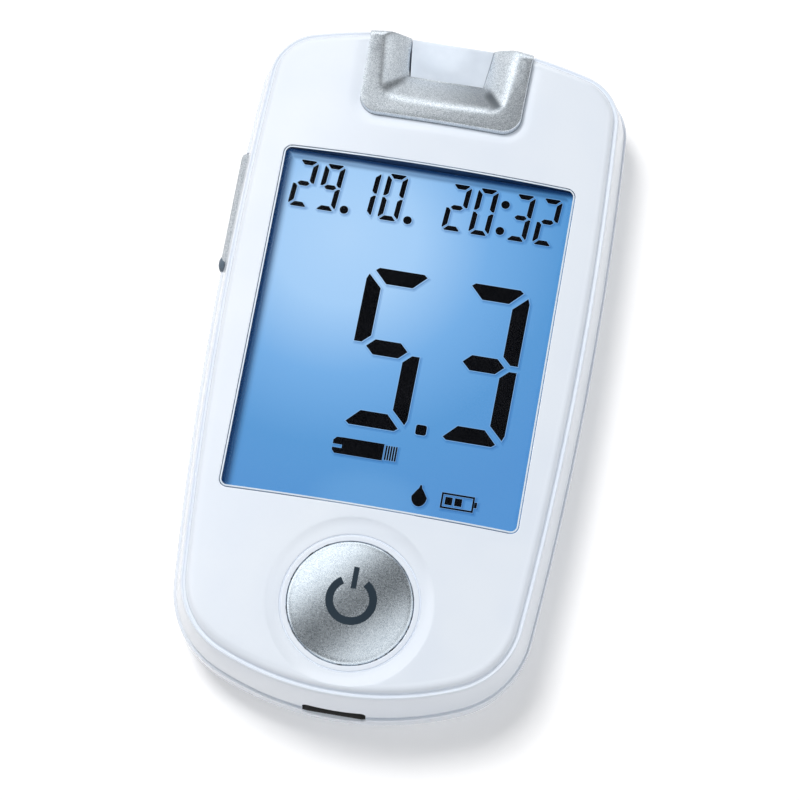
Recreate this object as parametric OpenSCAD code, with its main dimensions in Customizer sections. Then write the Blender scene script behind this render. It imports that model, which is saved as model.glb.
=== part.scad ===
// Blood glucose meter, lying on its back: +Z out of the display, +Y toward the strip port.
// The origin is on the back's flat face, under the middle of the case.

/* [Case] */
// Length of the case over its two ends
case_length = 97.3; // [96.6:0.1:104]
// Width of the case at its widest
case_width = 53.2; // [52.6:0.1:58]
// Thickness of the case at the middle of the crowned face
case_depth = 17; // [16.8:0.1:18.4]
// Height of the parting line above the back
parting_height = 8; // [7.8:0.1:8.3]
// Radius of the crown across the face
crown_radius = 150; // [135:1:260]
// Radius of the long sides, seen from the front
side_radius = 520; // [420:5:700]
// Radius of the top end, seen from the front
top_radius = 89; // [75:1:120]
// Radius of the lower end, seen from the front
bottom_radius = 41; // [38:0.5:46]
// Radius of the two upper corners
top_corner_radius = 8; // [7.4:0.1:9.5]
// Radius of the two lower corners
bottom_corner_radius = 13.2; // [12.4:0.1:14.2]
// Distance of the widest point from the top end
widest_from_top = 36.4; // [33:0.1:44]
// Thickness of the moulded walls
wall = 1.6; // [1.5:0.05:1.7]

/* [Case edges] */
// How far the upper shell sits inside the lower shell's rim
rim_step = 0.3; // [0.1:0.05:0.4]
// How far the side wall has leaned in at the shoulder
shoulder_inset = 1.2; // [1:0.05:1.3]
// Drop of the shoulder's lower edge below the crown
shoulder_drop = 2.1; // [2:0.05:2.4]
// Distance of the groove round the face from the outline
groove_inset = 2.05; // [2:0.05:2.3]
// Depth of that groove below the crown
groove_depth = 1.35; // [1.1:0.05:1.5]
// Rounding of the face's edge
face_edge_radius = 1.2; // [0.8:0.05:1.4]
// Width of the curved band round the flat back
back_edge_inset = 4.4; // [4:0.1:4.6]
// Height of the tongue that aligns the two shells
tongue_height = 1.3; // [1:0.05:1.4]
// Clearance round the tongue
tongue_gap = 0.1; // [0.05:0.01:0.15]

/* [Display window] */
// Distance of the window from the case's widest point on each side
window_from_side = 6.3; // [6.1:0.05:7.1]
// Distance of the window from the top end
window_from_top = 20.8; // [20.6:0.1:21.4]
// Distance of the window from the power button's edge
window_to_button = 4.8; // [4.5:0.1:7.3]
// Corner radius of the window
window_corner = 0.7; // [0.4:0.1:2]
// Thickness of the lens at its long edges
lens_edge = 1.3; // [1.1:0.05:1.4]
// Width of the ledge that the lens is stuck to
lens_ledge = 0.7; // [0.6:0.05:0.9]
// Thickness of the adhesive frame
tape_thickness = 0.15; // [0.1:0.05:0.2]
// Clearance round the lens
lens_gap = 0.06; // [0.04:0.01:0.1]

/* [Display] */
// Space between the ledge's tape and the display
display_gap = 0.95; // [0.9:0.05:1.1]
// Thickness of each of the display's two glass plates
glass_thickness = 0.55; // [0.5:0.05:0.7]
// How far the glass reaches past the visible area
glass_margin = 1.6; // [1.5:0.05:1.8]
// Depth of the contact ledge on the rear glass
contact_ledge = 2.8; // [2.6:0.1:3]
// Thickness of the light guide
guide_thickness = 1; // [0.8:0.05:1.2]
// Wall of the display frame
frame_wall = 0.7; // [0.6:0.05:0.8]
// Width of the rubber connector
zebra_width = 1.8; // [1.4:0.1:2]

/* [Power button] */
// Radius of the power button
button_radius = 8.3; // [7.8:0.05:8.5]
// Distance of the button's middle from the lower end
button_from_end = 13.9; // [13.7:0.05:14.2]
// Rise of the button's dome over its rim
button_dome = 1.1; // [0.6:0.05:1.4]
// Gap between the button and the shell
button_gap = 0.25; // [0.2:0.01:0.3]
// Travel of the button
button_travel = 0.5; // [0.3:0.05:0.6]
// Width of the dish round the button
dish_width = 3.1; // [2.4:0.05:3.3]
// Depth of the dish at the button
dish_depth = 0.9; // [0.6:0.05:1]

/* [Side key] */
// Length of the side key
key_length = 17.2; // [15:0.1:18]
// Width of the side key across the case's thickness
key_height = 3; // [2.6:0.1:3.2]
// How far the side key stands out of the case
key_proud = 0.5; // [0.3:0.05:0.7]
// Distance of the side key's middle from the top end
key_from_top = 29; // [28:0.1:30]
// Gap round the side key
key_gap = 0.3; // [0.25:0.01:0.35]
// Radius of the pin that the side key rocks on
key_pin_radius = 0.5; // [0.4:0.05:0.55]
// Distance of the two switches from the pin
key_switch_reach = 6; // [5:0.1:6.2]

/* [Strip port] */
// Width of the collar at its lower edge
collar_width = 22.4; // [21.6:0.1:23]
// How much wider the collar is at the top end
collar_flare = 0.6; // [0:0.05:0.8]
// Length of the collar from the top end
collar_length = 14.75; // [14.5:0.05:14.9]
// Corner radius of the collar
collar_corner = 2.6; // [2:0.1:3]
// How far the collar stands out of the crowned face
collar_lift = 1; // [0.7:0.05:1.2]
// How far the collar stands out of the end wall
collar_proud = 0.1; // [0.05:0.05:0.3]
// Width of the collar's rim at the sides
collar_rim = 1.95; // [1.7:0.05:2.1]
// Width of the collar's rim at its lower edge
collar_foot = 2.45; // [2:0.05:2.6]
// Clearance between the collar and the shell
collar_gap = 0.1; // [0.05:0.01:0.15]
// Width of the light block at its lower edge
block_width = 10.3; // [9.6:0.1:10.8]
// How much wider the light block is at the top end
block_flare = 1.6; // [1:0.1:1.8]
// Length of the light block from the top end
block_length = 7.1; // [6.6:0.1:7.3]
// How far the light block sits back from the case's end
block_setback = 0.3; // [0.2:0.05:0.4]
// Height of the light block's top above the back
block_height = 14.2; // [13.8:0.1:14.4]
// Width of the slot for the test strip
strip_slot_width = 6.4; // [5.6:0.1:7]
// Height of the slot for the test strip
strip_slot_height = 0.9; // [0.7:0.05:1]
// Height of the strip above the board
strip_rise = 1.9; // [1.7:0.05:2.1]

/* [Board] */
// Thickness of the main board
board_thickness = 1; // [0.8:0.05:1.1]
// How far the board's top stands above the parting line
board_rise = 0.2; // [0.1:0.05:0.25]
// Distance of the board's edge from the outline
board_inset = 3.5; // [3.3:0.05:3.7]

/* [Data socket] */
// Width of the data slot
socket_width = 8.6; // [8:0.1:9]
// Height of the data slot
socket_height = 2.4; // [2.1:0.1:2.6]
// Height of the slot's middle above the parting line
socket_rise = 0.5; // [0.3:0.05:0.6]
// Depth of the socket's body
socket_depth = 6.2; // [5.6:0.1:6.4]

/* [Batteries] */
// Radius of a coin cell
cell_radius = 10; // [9.6:0.05:10.05]
// Thickness of a coin cell
cell_thickness = 3.2; // [2.6:0.05:3.25]
// Distance between the two cells' middles
cell_pitch = 20.4; // [20.2:0.05:20.5]
// Distance of the cells' middles from the lower end
cell_from_end = 31.6; // [31.4:0.1:32.5]
// Thickness of the battery door
door_thickness = 1.4; // [1.2:0.05:1.5]
// Gap round the battery door
door_gap = 0.2; // [0.15:0.01:0.25]
// Clearance of a cell in its bay
cell_gap = 0.3; // [0.25:0.01:0.35]

/* [Screws] */
// Radius of the screws' shafts
screw_radius = 1; // [0.85:0.05:1.1]
// Radius of the screws' heads
screw_head_radius = 1.9; // [1.7:0.05:2]
// Length of the screws under the head
screw_length = 8; // [7.5:0.1:8.5]
// Depth of the heads' recesses in the back
screw_recess = 3; // [2.6:0.1:3.2]
// Distance of the upper screws from the sides of the case
upper_screw_inset = 7.4; // [7.2:0.1:7.8]
// Distance of the upper screws from the top end
upper_screw_from_end = 10.2; // [9.8:0.1:10.6]
// Distance of the lower screws from the sides of the case
lower_screw_inset = 12.2; // [11.8:0.1:12.6]
// Distance of the lower screws from the lower end
lower_screw_from_end = 8.7; // [8.4:0.1:9]

/* [Hidden] */
$fn = 48;
slack = 1;
fit = 0.05;
press_gap = 0.01;
contact_gap = 0.1;
seam = 0.02;

end_y = case_length / 2;
side_x = case_width / 2;

// Segments of each arc of the outline, from the lower end to the top end
bottom_steps = 6;
bottom_corner_steps = 9;
side_steps = 7;
top_corner_steps = 9;
top_steps = 5;

// Middles of the outline's arcs, which meet tangentially
top_middle = [0, end_y - top_radius];
bottom_middle = [0, bottom_radius - end_y];
side_middle = [side_x - side_radius, end_y - widest_from_top];
top_corner_middle = meeting_point(side_middle, side_radius - top_corner_radius,
    top_middle, top_radius - top_corner_radius, 1);
bottom_corner_middle = meeting_point(side_middle, side_radius - bottom_corner_radius,
    bottom_middle, bottom_radius - bottom_corner_radius, -1);
top_turn = heading(top_corner_middle - top_middle);
side_top_turn = heading(top_corner_middle - side_middle);
side_bottom_turn = heading(bottom_corner_middle - side_middle);
bottom_turn = heading(bottom_corner_middle - bottom_middle);

function heading(v) = atan2(v.y, v.x);

// Where two circles cross, on the right-hand side: upper crossing with sign 1, lower with -1
function meeting_point(a, ra, b, rb, sign) =
    let (
        span = norm(b - a),
        along = (ra * ra - rb * rb + span * span) / (2 * span),
        off = sqrt(ra * ra - along * along),
        way = (b - a) / span,
        left = [-way.y, way.x],
        one = a + along * way + off * left,
        two = a + along * way - off * left
    )
    sign * one.y > sign * two.y ? one : two;

function arc(middle, radius, from, to, steps) =
    [for (i = [0:steps - 1])
        let (t = from + (to - from) * i / steps) middle + radius * [cos(t), sin(t)]];

// Right half of the outline, moved in by an inset, from the lower end up
function right_half(inset) = concat(
    arc(bottom_middle, bottom_radius - inset, -90, bottom_turn, bottom_steps),
    arc(bottom_corner_middle, bottom_corner_radius - inset, bottom_turn, side_bottom_turn,
        bottom_corner_steps),
    arc(side_middle, side_radius - inset, side_bottom_turn, side_top_turn, side_steps),
    arc(top_corner_middle, top_corner_radius - inset, side_top_turn, top_turn, top_corner_steps),
    arc(top_middle, top_radius - inset, top_turn, 90, top_steps));

function outline(inset) =
    let (half = right_half(inset), last = len(half) - 1)
    concat(half, [[0, end_y - inset]], [for (i = [last:-1:1]) [-half[i].x, half[i].y]]);

function crown(x) = case_depth - crown_radius + sqrt(crown_radius * crown_radius - x * x);

// Rings of points: below the crown, at one height, up the side wall, and shrunk over the face
function crown_ring(inset, drop) = [for (p = outline(inset)) [p.x, p.y, crown(p.x) - drop]];
function level_ring(inset, z) = [for (p = outline(inset)) [p.x, p.y, z]];
function wall_ring(inset, share, from, drop) =
    [for (p = outline(inset)) [p.x, p.y, from + share * (crown(p.x) - drop - from)]];
function face_ring(scale, inset, drop) =
    [for (p = outline(inset)) [scale * p.x, scale * p.y, crown(scale * p.x) - drop]];

// A closed skin over rings, from a pole above the first ring to a pole past the last one
module skin(rings, first_pole, last_pole) {
    count = len(rings[0]);
    last = len(rings) - 1;
    points = concat([first_pole], [for (ring = rings) each ring], [last_pole]);
    faces = concat(
        [for (i = [0:count - 1]) [0, 1 + (i + 1) % count, 1 + i]],
        [for (k = [0:last - 1], i = [0:count - 1])
            let (a = 1 + k * count, j = (i + 1) % count) [a + i, a + j, a + count + j]],
        [for (k = [0:last - 1], i = [0:count - 1])
            let (a = 1 + k * count, j = (i + 1) % count) [a + i, a + count + j, a + count + i]],
        [for (i = [0:count - 1])
            let (a = 1 + last * count) [a + i, a + (i + 1) % count, len(points) - 1]]);
    polyhedron(points, faces, convexity = 8);
}

module rounded_plate(size, corner) {
    for (x = [-1, 1], y = [-1, 1]) {
        translate([x * (size.x / 2 - corner), y * (size.y / 2 - corner)]) circle(corner);
    }
    square([size.x - 2 * corner, size.y], center = true);
    square([size.x, size.y - 2 * corner], center = true);
}

module slab(size, corner, from, to) {
    translate([0, 0, from]) linear_extrude(to - from) rounded_plate(size, corner);
}

module box(low, high) {
    translate(low) cube(high - low);
}

module rod(radius, from, to) {
    translate([0, 0, from]) cylinder(r = radius, h = to - from);
}

// Heights, from the window down and from the back up
window_width = case_width - 2 * window_from_side;
window_length = case_length - window_from_top - window_to_button - button_radius - button_from_end;
lens_bottom = crown(window_width / 2) - lens_edge;
ledge_top = lens_bottom - tape_thickness;
display_top = ledge_top - display_gap;
display_bottom = display_top - 2 * glass_thickness;
guide_top = display_bottom - fit;
guide_bottom = guide_top - guide_thickness;
board_top = parting_height + board_rise;
board_bottom = board_top - board_thickness;
strip_z = board_top + strip_rise;
face_flat_inset = groove_inset + face_edge_radius;
tongue_split = 1.05;
tongue_width = 0.75;
tongue_inner = tongue_split + tongue_gap + tongue_width;
inner_inset = tongue_inner + tongue_gap;

window_y = end_y - window_from_top - window_length / 2;
button_y = button_from_end - end_y;
key_y = end_y - key_from_top;
cell_y = cell_from_end - end_y;
collar_y = end_y - collar_length;

// ---- Case shells ----

edge_turns = [0:22.5:90];

// Outer face of the upper shell from the flat of the face down to the parting line
upper_face_rings = concat(
    [for (s = [0.35, 0.7]) face_ring(s, face_flat_inset, 0)],
    [for (t = edge_turns) crown_ring(face_flat_inset - face_edge_radius * sin(t),
        face_edge_radius * (1 - cos(t)))],
    [crown_ring(groove_inset - 0.1, groove_depth),
        crown_ring(groove_inset - 0.3, groove_depth),
        crown_ring(groove_inset - 0.42, groove_depth - 0.15),
        crown_ring(shoulder_inset + 0.25, groove_depth),
        crown_ring(shoulder_inset, shoulder_drop),
        wall_ring(0.5 * (shoulder_inset + rim_step), 0.5, parting_height, shoulder_drop),
        level_ring(rim_step + 0.05, parting_height + 0.6),
        level_ring(rim_step + 0.2, parting_height)]);

upper_inner_rings = concat(
    [level_ring(tongue_split, parting_height),
        level_ring(tongue_split, parting_height + tongue_height + tongue_gap),
        level_ring(inner_inset, parting_height + tongue_height + tongue_gap),
        wall_ring(shoulder_inset + wall, 1, parting_height, shoulder_drop + wall),
        crown_ring(groove_inset + wall - 0.1, groove_depth + 0.5 * wall + 0.1),
        crown_ring(face_flat_inset + 0.6 * wall, wall)],
    [for (s = [0.6, 0.25]) face_ring(s, face_flat_inset + 0.6 * wall, wall)]);

module upper_skin() {
    skin(concat(upper_face_rings, upper_inner_rings), [0, 0, crown(0)], [0, 0, crown(0) - wall]);
}

lower_rise = parting_height - 0.7;

// Outer wall of the lower shell: an arc-like sweep from the rim to the flat back
lower_wall_turns = [15:15:90];

lower_rings = concat(
    [for (s = [0.3, 0.7]) [for (p = outline(back_edge_inset + wall)) [s * p.x, s * p.y, wall]]],
    [level_ring(back_edge_inset + 0.6 * wall, wall)],
    [for (t = lower_wall_turns)
        level_ring(wall + back_edge_inset * pow(1 - sin(t), 1.2),
            wall + (lower_rise - wall) * (1 - cos(t)))],
    [level_ring(tongue_inner, parting_height),
        level_ring(tongue_inner, parting_height + tongue_height),
        level_ring(tongue_split + tongue_gap, parting_height + tongue_height),
        level_ring(tongue_split + tongue_gap, parting_height),
        level_ring(0.25, parting_height),
        level_ring(0, lower_rise + 0.35)],
    [for (t = [90:-15:15])
        level_ring(back_edge_inset * pow(1 - sin(t), 1.35), lower_rise * (1 - cos(t)))],
    [level_ring(back_edge_inset, 0)]);

module lower_skin() {
    skin(lower_rings, [0, 0, wall], [0, 0, 0]);
}

// A solid of the case's outer form, grown and lifted, down to a flat underside
module case_form(grow, lift, underside) {
    rings = concat(
        [for (s = [0.7]) face_ring(s, face_flat_inset - grow, -lift)],
        [for (t = edge_turns) crown_ring(face_flat_inset - grow - face_edge_radius * sin(t),
            face_edge_radius * (1 - cos(t)) - lift)],
        [wall_ring(shoulder_inset - grow, 1, parting_height, shoulder_drop - 0.5 * lift),
            wall_ring(0.5 * (shoulder_inset + rim_step) - grow, 0.5, parting_height, shoulder_drop),
            level_ring(rim_step - grow, parting_height + fit),
            level_ring(rim_step - grow, underside)]);
    skin(rings, [0, 0, crown(0) + lift], [0, 0, underside]);
}

// Positions of the four case screws, clear of the display and the button
upper_screw = [side_x - upper_screw_inset, end_y - upper_screw_from_end];
lower_screw = [side_x - lower_screw_inset, lower_screw_from_end - end_y];
screw_places = [
    [upper_screw.x, upper_screw.y], [-upper_screw.x, upper_screw.y],
    [lower_screw.x, lower_screw.y], [-lower_screw.x, lower_screw.y]];
thread_gap = 0.03;
screw_gap = 0.15;
head_gap = 0.2;
boss_radius = screw_radius + 1.3;
post_radius = screw_head_radius + 0.9;
head_height = 1.4;
screw_top = screw_recess + screw_length;

module collar_plan(grow) {
    half = collar_width / 2 + grow;
    far = collar_length + 5;
    flared = half + collar_flare * far / (2 * collar_length);
    round = collar_corner + grow;
    translate([0, collar_y - grow]) {
        polygon([[-half + round, 0], [half - round, 0], [half, round], [flared, far],
            [-flared, far], [-half, round]]);
        for (side = [-1, 1]) {
            translate([side * (half - round), round]) circle(round);
        }
    }
}

// The window's seat: a rim under the face, and the opening that the display shows through
module window_rim() {
    outer = [window_width + 2 * wall, window_length + 2 * wall];
    translate([0, window_y]) intersection() {
        slab(outer, window_corner + wall, display_top + fit, case_depth + slack);
        translate([0, case_length / 2, case_depth - crown_radius]) rotate([90, 0, 0])
            cylinder(r = crown_radius - wall / 2, h = case_length, $fn = 180);
    }
}

view_size = [window_width - 2 * lens_ledge, window_length - 2 * lens_ledge];

module window_cut() {
    seat = [window_width + 2 * lens_gap, window_length + 2 * lens_gap];
    translate([0, window_y]) {
        slab(seat, window_corner + lens_gap, ledge_top, case_depth + slack);
        slab(view_size, window_corner, display_top - slack, case_depth);
    }
}

// The dish round the button: a revolved hollow whose outer edge runs out into the face
dish_floor = case_depth - dish_depth;
module dish_cut() {
    outer = button_radius + button_gap + dish_width;
    lip = button_radius + button_gap + 0.55;
    translate([0, button_y]) rotate_extrude()
        polygon(concat([[0, case_depth + slack], [0, dish_floor], [lip, dish_floor]],
            [for (t = [0:15:60]) [lip + (outer - lip) * sin(t) / sin(60),
                dish_floor + dish_depth * (1 - cos(t)) / (1 - cos(60))]],
            [[outer, case_depth + slack]]));
}

guide_bottom_z = dish_floor - wall - 0.3;
ear_reach = button_radius + 1.9;
ear_radius = 1.5;
ear_pin_radius = 0.6;
ear_pin_length = 2.2;

module button_guide() {
    translate([0, button_y]) {
        rod(button_radius + button_gap + wall, guide_bottom_z, dish_floor - wall / 3);
        for (side = [-1, 1]) {
            translate([side * ear_reach, 0]) rod(2 * ear_pin_radius, guide_bottom_z, dish_floor - wall / 3);
            translate([side * ear_reach, 0]) rod(ear_pin_radius, guide_bottom_z - ear_pin_length,
                guide_bottom_z + slack);
        }
    }
}

// The key's slot runs half in each shell
key_z = parting_height;
key_slot_depth = 2.6;
pin_x = 3.3 - side_x;
key_post_radius = key_pin_radius + 0.8;
pin_hold = 2;
module key_slot(wide) {
    half = [wall + 4, key_length / 2 + key_gap, key_height / 2 + key_gap];
    translate([-side_x, key_y, key_z]) box([-half.x, -half.y, -half.z], [wide, half.y, half.z]);
}

module socket_cut(grow, depth) {
    half = [socket_width / 2 + grow, socket_height / 2 + grow];
    translate([0, depth - end_y, parting_height + socket_rise]) rotate([90, 0, 0])
        linear_extrude(depth + slack) rounded_plate(2 * half, socket_corner + grow);
}

socket_corner = 0.8;
socket_back = 1.2;
socket_body = [socket_width + 1.6, socket_depth, socket_height + 0.8];

module socket_bay() {
    half = socket_body / 2;
    translate([0, wall - end_y, parting_height + socket_rise])
        box([-half.x - fit, 0, -half.z - fit], [half.x + fit, socket_body.y + wall, half.z + fit]);
}

module upper_shell() {
    color([0.95, 0.97, 0.99]) difference() {
        union() {
            upper_skin();
            window_rim();
            button_guide();
            for (place = screw_places) {
                translate(place) rod(boss_radius, board_top, crown(place.x) - wall / 2);
            }
            translate([pin_x, key_y]) rod(key_post_radius, key_z + key_height / 2 + key_gap,
                crown(pin_x) - shoulder_drop - 0.2);
        }
        window_cut();
        dish_cut();
        translate([0, button_y]) rod(button_radius + button_gap, guide_bottom_z - slack,
            case_depth + slack);
        translate([0, 0, parting_height - slack]) linear_extrude(case_depth)
            collar_plan(collar_gap);
        key_slot(key_slot_depth);
        socket_cut(0, 2 * wall + slack);
        socket_bay();
        for (place = screw_places) {
            translate(place) rod(screw_radius + thread_gap, board_top - slack, screw_top + 0.5);
        }
        translate([pin_x, key_y]) rod(key_pin_radius + fit, key_z, key_z + key_height / 2 + pin_hold + 0.2);
    }
}

// ---- Battery bay ----

door_lift = 0.1;
rib_height = 0.5;
door_top = door_lift + door_thickness;
cell_bottom = door_top + rib_height;
cell_top = cell_bottom + cell_thickness;
bay_half = [cell_pitch / 2 + cell_radius + cell_gap, cell_radius + 1.1];
bay_ceiling = cell_top + 0.6;
bay_roof = 0.8;
bay_wall = 0.9;
bay_corner = 2.5;
thumb_radius = 6;
tab_x = cell_pitch / 2 + 6.3;
tab_width = 3.2;

module bay_plate(grow, from, to) {
    translate([0, cell_y]) slab(2 * bay_half + [2, 2] * grow, bay_corner + grow, from, to);
}

pin_foot = key_z - key_height / 2 - key_gap;
leg_x = 3.2;

// Slots in the bay's roof that the contacts' legs pass through
module leg_slots() {
    for (side = [-1, 1], row = [-1, 1]) {
        translate([side * cell_pitch / 2, cell_y + row * (bay_half.y - 0.5), bay_ceiling])
            cube([leg_x + 0.4, 1.1, 4 * bay_roof], center = true);
    }
}

// Places of the parts under the board, measured from the bay's upper edge
bay_edge_y = cell_y + bay_half.y + bay_wall;
buzzer_rise = 21.15;
buzzer_x = 9;
buzzer_radius = 7.5;
buzzer_place = [buzzer_x, bay_edge_y + buzzer_rise];
buzzer_bottom = wall + 0.8;

module buzzer_seat() {
    translate(buzzer_place) difference() {
        rod(buzzer_radius + 1, wall / 2, buzzer_bottom + 0.6);
        rod(buzzer_radius + fit, buzzer_bottom, buzzer_bottom + slack);
        rod(buzzer_radius - 1, wall / 2 - slack, buzzer_bottom + slack);
    }
}

module lower_shell() {
    color([0.93, 0.95, 0.97]) difference() {
        union() {
            lower_skin();
            bay_plate(bay_wall, wall / 2, bay_ceiling + bay_roof);
            for (place = screw_places) {
                translate(place) rod(post_radius, wall / 2, board_bottom);
            }
            translate([pin_x, key_y]) rod(key_post_radius, wall, pin_foot);
            buzzer_seat();
        }
        bay_plate(0, -slack, bay_ceiling);
        for (side = [-1, 1]) {
            translate([side * tab_x, cell_y + bay_half.y])
                box([-tab_width / 2 - door_gap, -slack, wall],
                    [tab_width / 2 + door_gap, bay_wall + slack, bay_ceiling - 0.5]);
        }
        leg_slots();
        // Recess for a fingertip at the door's lower edge
        translate([0, cell_y - bay_half.y]) intersection() {
            rod(thumb_radius, -slack, wall / 2);
            box([-thumb_radius - 2, -thumb_radius - 2, -slack], [thumb_radius + 2, 0.1, wall]);
        }
        for (place = screw_places) {
            translate(place) rod(screw_radius + screw_gap, -slack, board_bottom + slack);
            translate(place) rod(screw_head_radius + head_gap, -slack, screw_recess);
        }
        key_slot(key_slot_depth);
        socket_cut(0, 2 * wall + slack);
        socket_bay();
        translate([pin_x, key_y])
            rod(key_pin_radius + press_gap, pin_foot - pin_hold - 1, pin_foot + slack);
        // The tongue stops at the collar
        translate([0, 0, parting_height]) linear_extrude(tongue_height + slack)
            collar_plan(collar_gap);
    }
}

// Door in the bay's mouth: two hooks at its upper edge and ribs that press on the cells
door_hinge_y = cell_y + bay_half.y;

module battery_door() {
    half = bay_half - [door_gap, door_gap];
    color([0.93, 0.95, 0.97]) {
        translate([0, cell_y]) slab(2 * half, bay_corner - door_gap, door_lift, door_top);
        for (side = [-1, 1]) {
            translate([side * tab_x, door_hinge_y]) {
                box([-tab_width / 2, -door_gap - 1.2, door_thickness],
                    [tab_width / 2, -door_gap, door_thickness + 1.1]);
                box([-tab_width / 2, -door_gap - 1.2, wall + 0.15],
                    [tab_width / 2, bay_wall + 0.4, door_thickness + 1.1]);
            }
            for (row = [-1, 0, 1]) {
                translate([side * cell_pitch / 2, cell_y + row * cell_radius / 2])
                    box([-cell_radius / 2, -0.5, door_thickness],
                        [cell_radius / 2, 0.5, cell_bottom - fit]);
            }
        }
    }
}

// Coin cell: a rounded can, a gasket line and the smaller cap on top
module coin_cell(side) {
    cap = cell_radius - 1.6;
    color([0.78, 0.79, 0.8]) translate([side * cell_pitch / 2, cell_y, cell_bottom])
        rotate_extrude() polygon(concat(
            [[0, 0], [cell_radius - 0.5, 0]],
            [for (t = [-60:30:0]) [cell_radius - 0.5 + 0.5 * cos(t), 0.5 + 0.5 * sin(t)]],
            [[cell_radius, cell_thickness - 0.7], [cell_radius - 0.35, cell_thickness - 0.35],
                [cap + 0.5, cell_thickness - 0.35], [cap + 0.3, cell_thickness - 0.5],
                [cap, cell_thickness - 0.2], [cap - 0.2, cell_thickness], [0, cell_thickness]]));
}

module left_cell() {
    coin_cell(-1);
}

module right_cell() {
    coin_cell(1);
}

leaf = 0.25;
leaf_top = bay_ceiling - fit;

// Leaf on each cell's cap, with a leg through the roof to the board
module negative_contacts() {
    low = cell_top + press_gap;
    back = bay_half.y - 0.4;
    color([0.85, 0.8, 0.6]) for (side = [-1, 1]) {
        translate([side * cell_pitch / 2, cell_y]) {
            box([-leg_x / 2, 2, low], [leg_x / 2, 4.3 + leaf, low + leaf]);
            box([-leg_x / 2, 4.3, low], [leg_x / 2, 4.3 + leaf, leaf_top]);
            box([-leg_x / 2, 4.3, leaf_top - leaf], [leg_x / 2, back, leaf_top]);
            box([-leg_x / 2, back - leaf, leaf_top - leaf], [leg_x / 2, back, board_bottom]);
        }
    }
}

// Leaf against each cell's rim, at the bay's lower wall
module positive_contacts() {
    rim_y = -cell_radius - cell_gap;
    color([0.85, 0.8, 0.6]) for (side = [-1, 1]) {
        translate([side * cell_pitch / 2, cell_y]) {
            box([-leg_x / 2, rim_y - leaf, cell_bottom + 0.5], [leg_x / 2, rim_y, board_bottom]);
            box([-0.8, rim_y, cell_bottom + 1],
                [0.8, -cell_radius - press_gap, cell_bottom + 2]);
        }
    }
}

// ---- Window and display ----

module display_window() {
    color([0.75, 0.85, 0.95, 0.4]) translate([0, window_y]) intersection() {
        slab([window_width, window_length], window_corner, lens_bottom, case_depth + slack);
        translate([0, case_length / 2, case_depth - crown_radius]) rotate([90, 0, 0])
            cylinder(r = crown_radius, h = case_length, $fn = 180);
    }
}

module window_tape() {
    color([0.08, 0.1, 0.14]) translate([0, window_y]) difference() {
        slab([window_width, window_length], window_corner, ledge_top, lens_bottom);
        slab(view_size, window_corner, ledge_top - slack, lens_bottom + slack);
    }
}

glass_half = [view_size.x / 2 + glass_margin / 2, view_size.y / 2 + glass_margin];
ledge_end = glass_half.y + contact_ledge;
frame_half = [glass_half.x + fit + frame_wall, glass_half.y + fit + frame_wall];
frame_end = ledge_end + fit + frame_wall;

// Two glass plates, the rear one reaching past the front one as a contact ledge
module lcd_panel() {
    middle = display_bottom + glass_thickness;
    color([0.35, 0.62, 0.9]) translate([0, window_y]) {
        box([-glass_half.x, -glass_half.y, middle], [glass_half.x, glass_half.y, display_top]);
        box([-glass_half.x, -glass_half.y, display_bottom], [glass_half.x, ledge_end, middle]);
    }
}

module backlight_plate() {
    color([0.7, 0.85, 1]) translate([0, window_y]) box([-glass_half.x, -glass_half.y, guide_bottom],
        [glass_half.x, glass_half.y, guide_top]);
}

led_places = [-12, 0, 12];
led_size = [3, 1.2];

module backlight_leds() {
    color([0.95, 0.95, 0.8]) for (x = led_places) {
        translate([x, window_y - glass_half.y - fit]) {
            box([-led_size.x / 2, -led_size.y, board_top],
                [led_size.x / 2, -0.3, guide_top - 0.2]);
            box([-led_size.x / 2 + 0.3, -0.3, guide_bottom + 0.1],
                [led_size.x / 2 - 0.3, 0, guide_top - 0.3]);
        }
    }
}

zebra_y = glass_half.y + contact_ledge / 2 + 0.1;

module lcd_frame() {
    color([0.9, 0.92, 0.94]) translate([0, window_y]) difference() {
        box([-frame_half.x, -frame_half.y, board_top], [frame_half.x, frame_end, display_top - 0.1]);
        box([-glass_half.x - fit, -glass_half.y - fit, guide_bottom - seam],
            [glass_half.x + fit, glass_half.y + fit, case_depth]);
        box([-glass_half.x - fit, glass_half.y, display_bottom - seam],
            [glass_half.x + fit, ledge_end + fit, case_depth]);
        // Opening under the light guide, and the slot of the rubber connector
        box([-glass_half.x + 2, -glass_half.y + 2, 0], [glass_half.x - 2, glass_half.y - 2, case_depth]);
        box([-glass_half.x + 1, zebra_y - zebra_width / 2 - fit, 0],
            [glass_half.x - 1, zebra_y + zebra_width / 2 + fit, case_depth]);
        for (x = led_places) {
            translate([x, -glass_half.y]) box([-led_size.x / 2 - 0.15, -led_size.y - 1, 0],
                [led_size.x / 2 + 0.15, 0.1, guide_top]);
        }
    }
}

module zebra_strip() {
    color([0.3, 0.32, 0.35]) translate([0, window_y])
        box([-glass_half.x + 1.1, zebra_y - zebra_width / 2, board_top],
            [glass_half.x - 1.1, zebra_y + zebra_width / 2, display_bottom]);
}

// ---- Board and what it carries ----

key_hub_radius = key_pin_radius + 0.6;
key_notch = pin_x + key_hub_radius + 0.3 + side_x;

module main_board() {
    color([0.1, 0.4, 0.2]) difference() {
        translate([0, 0, board_bottom]) linear_extrude(board_thickness) difference() {
            polygon(outline(board_inset));
            for (place = screw_places) {
                translate(place) circle(screw_radius + screw_gap);
            }
            translate([-side_x, key_y]) square([2 * key_notch, key_length + 2], center = true);
            translate([0, -end_y]) square([socket_body.x + 0.4,
                2 * (wall + socket_body.y + 0.2)], center = true);
        }
    }
}

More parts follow.
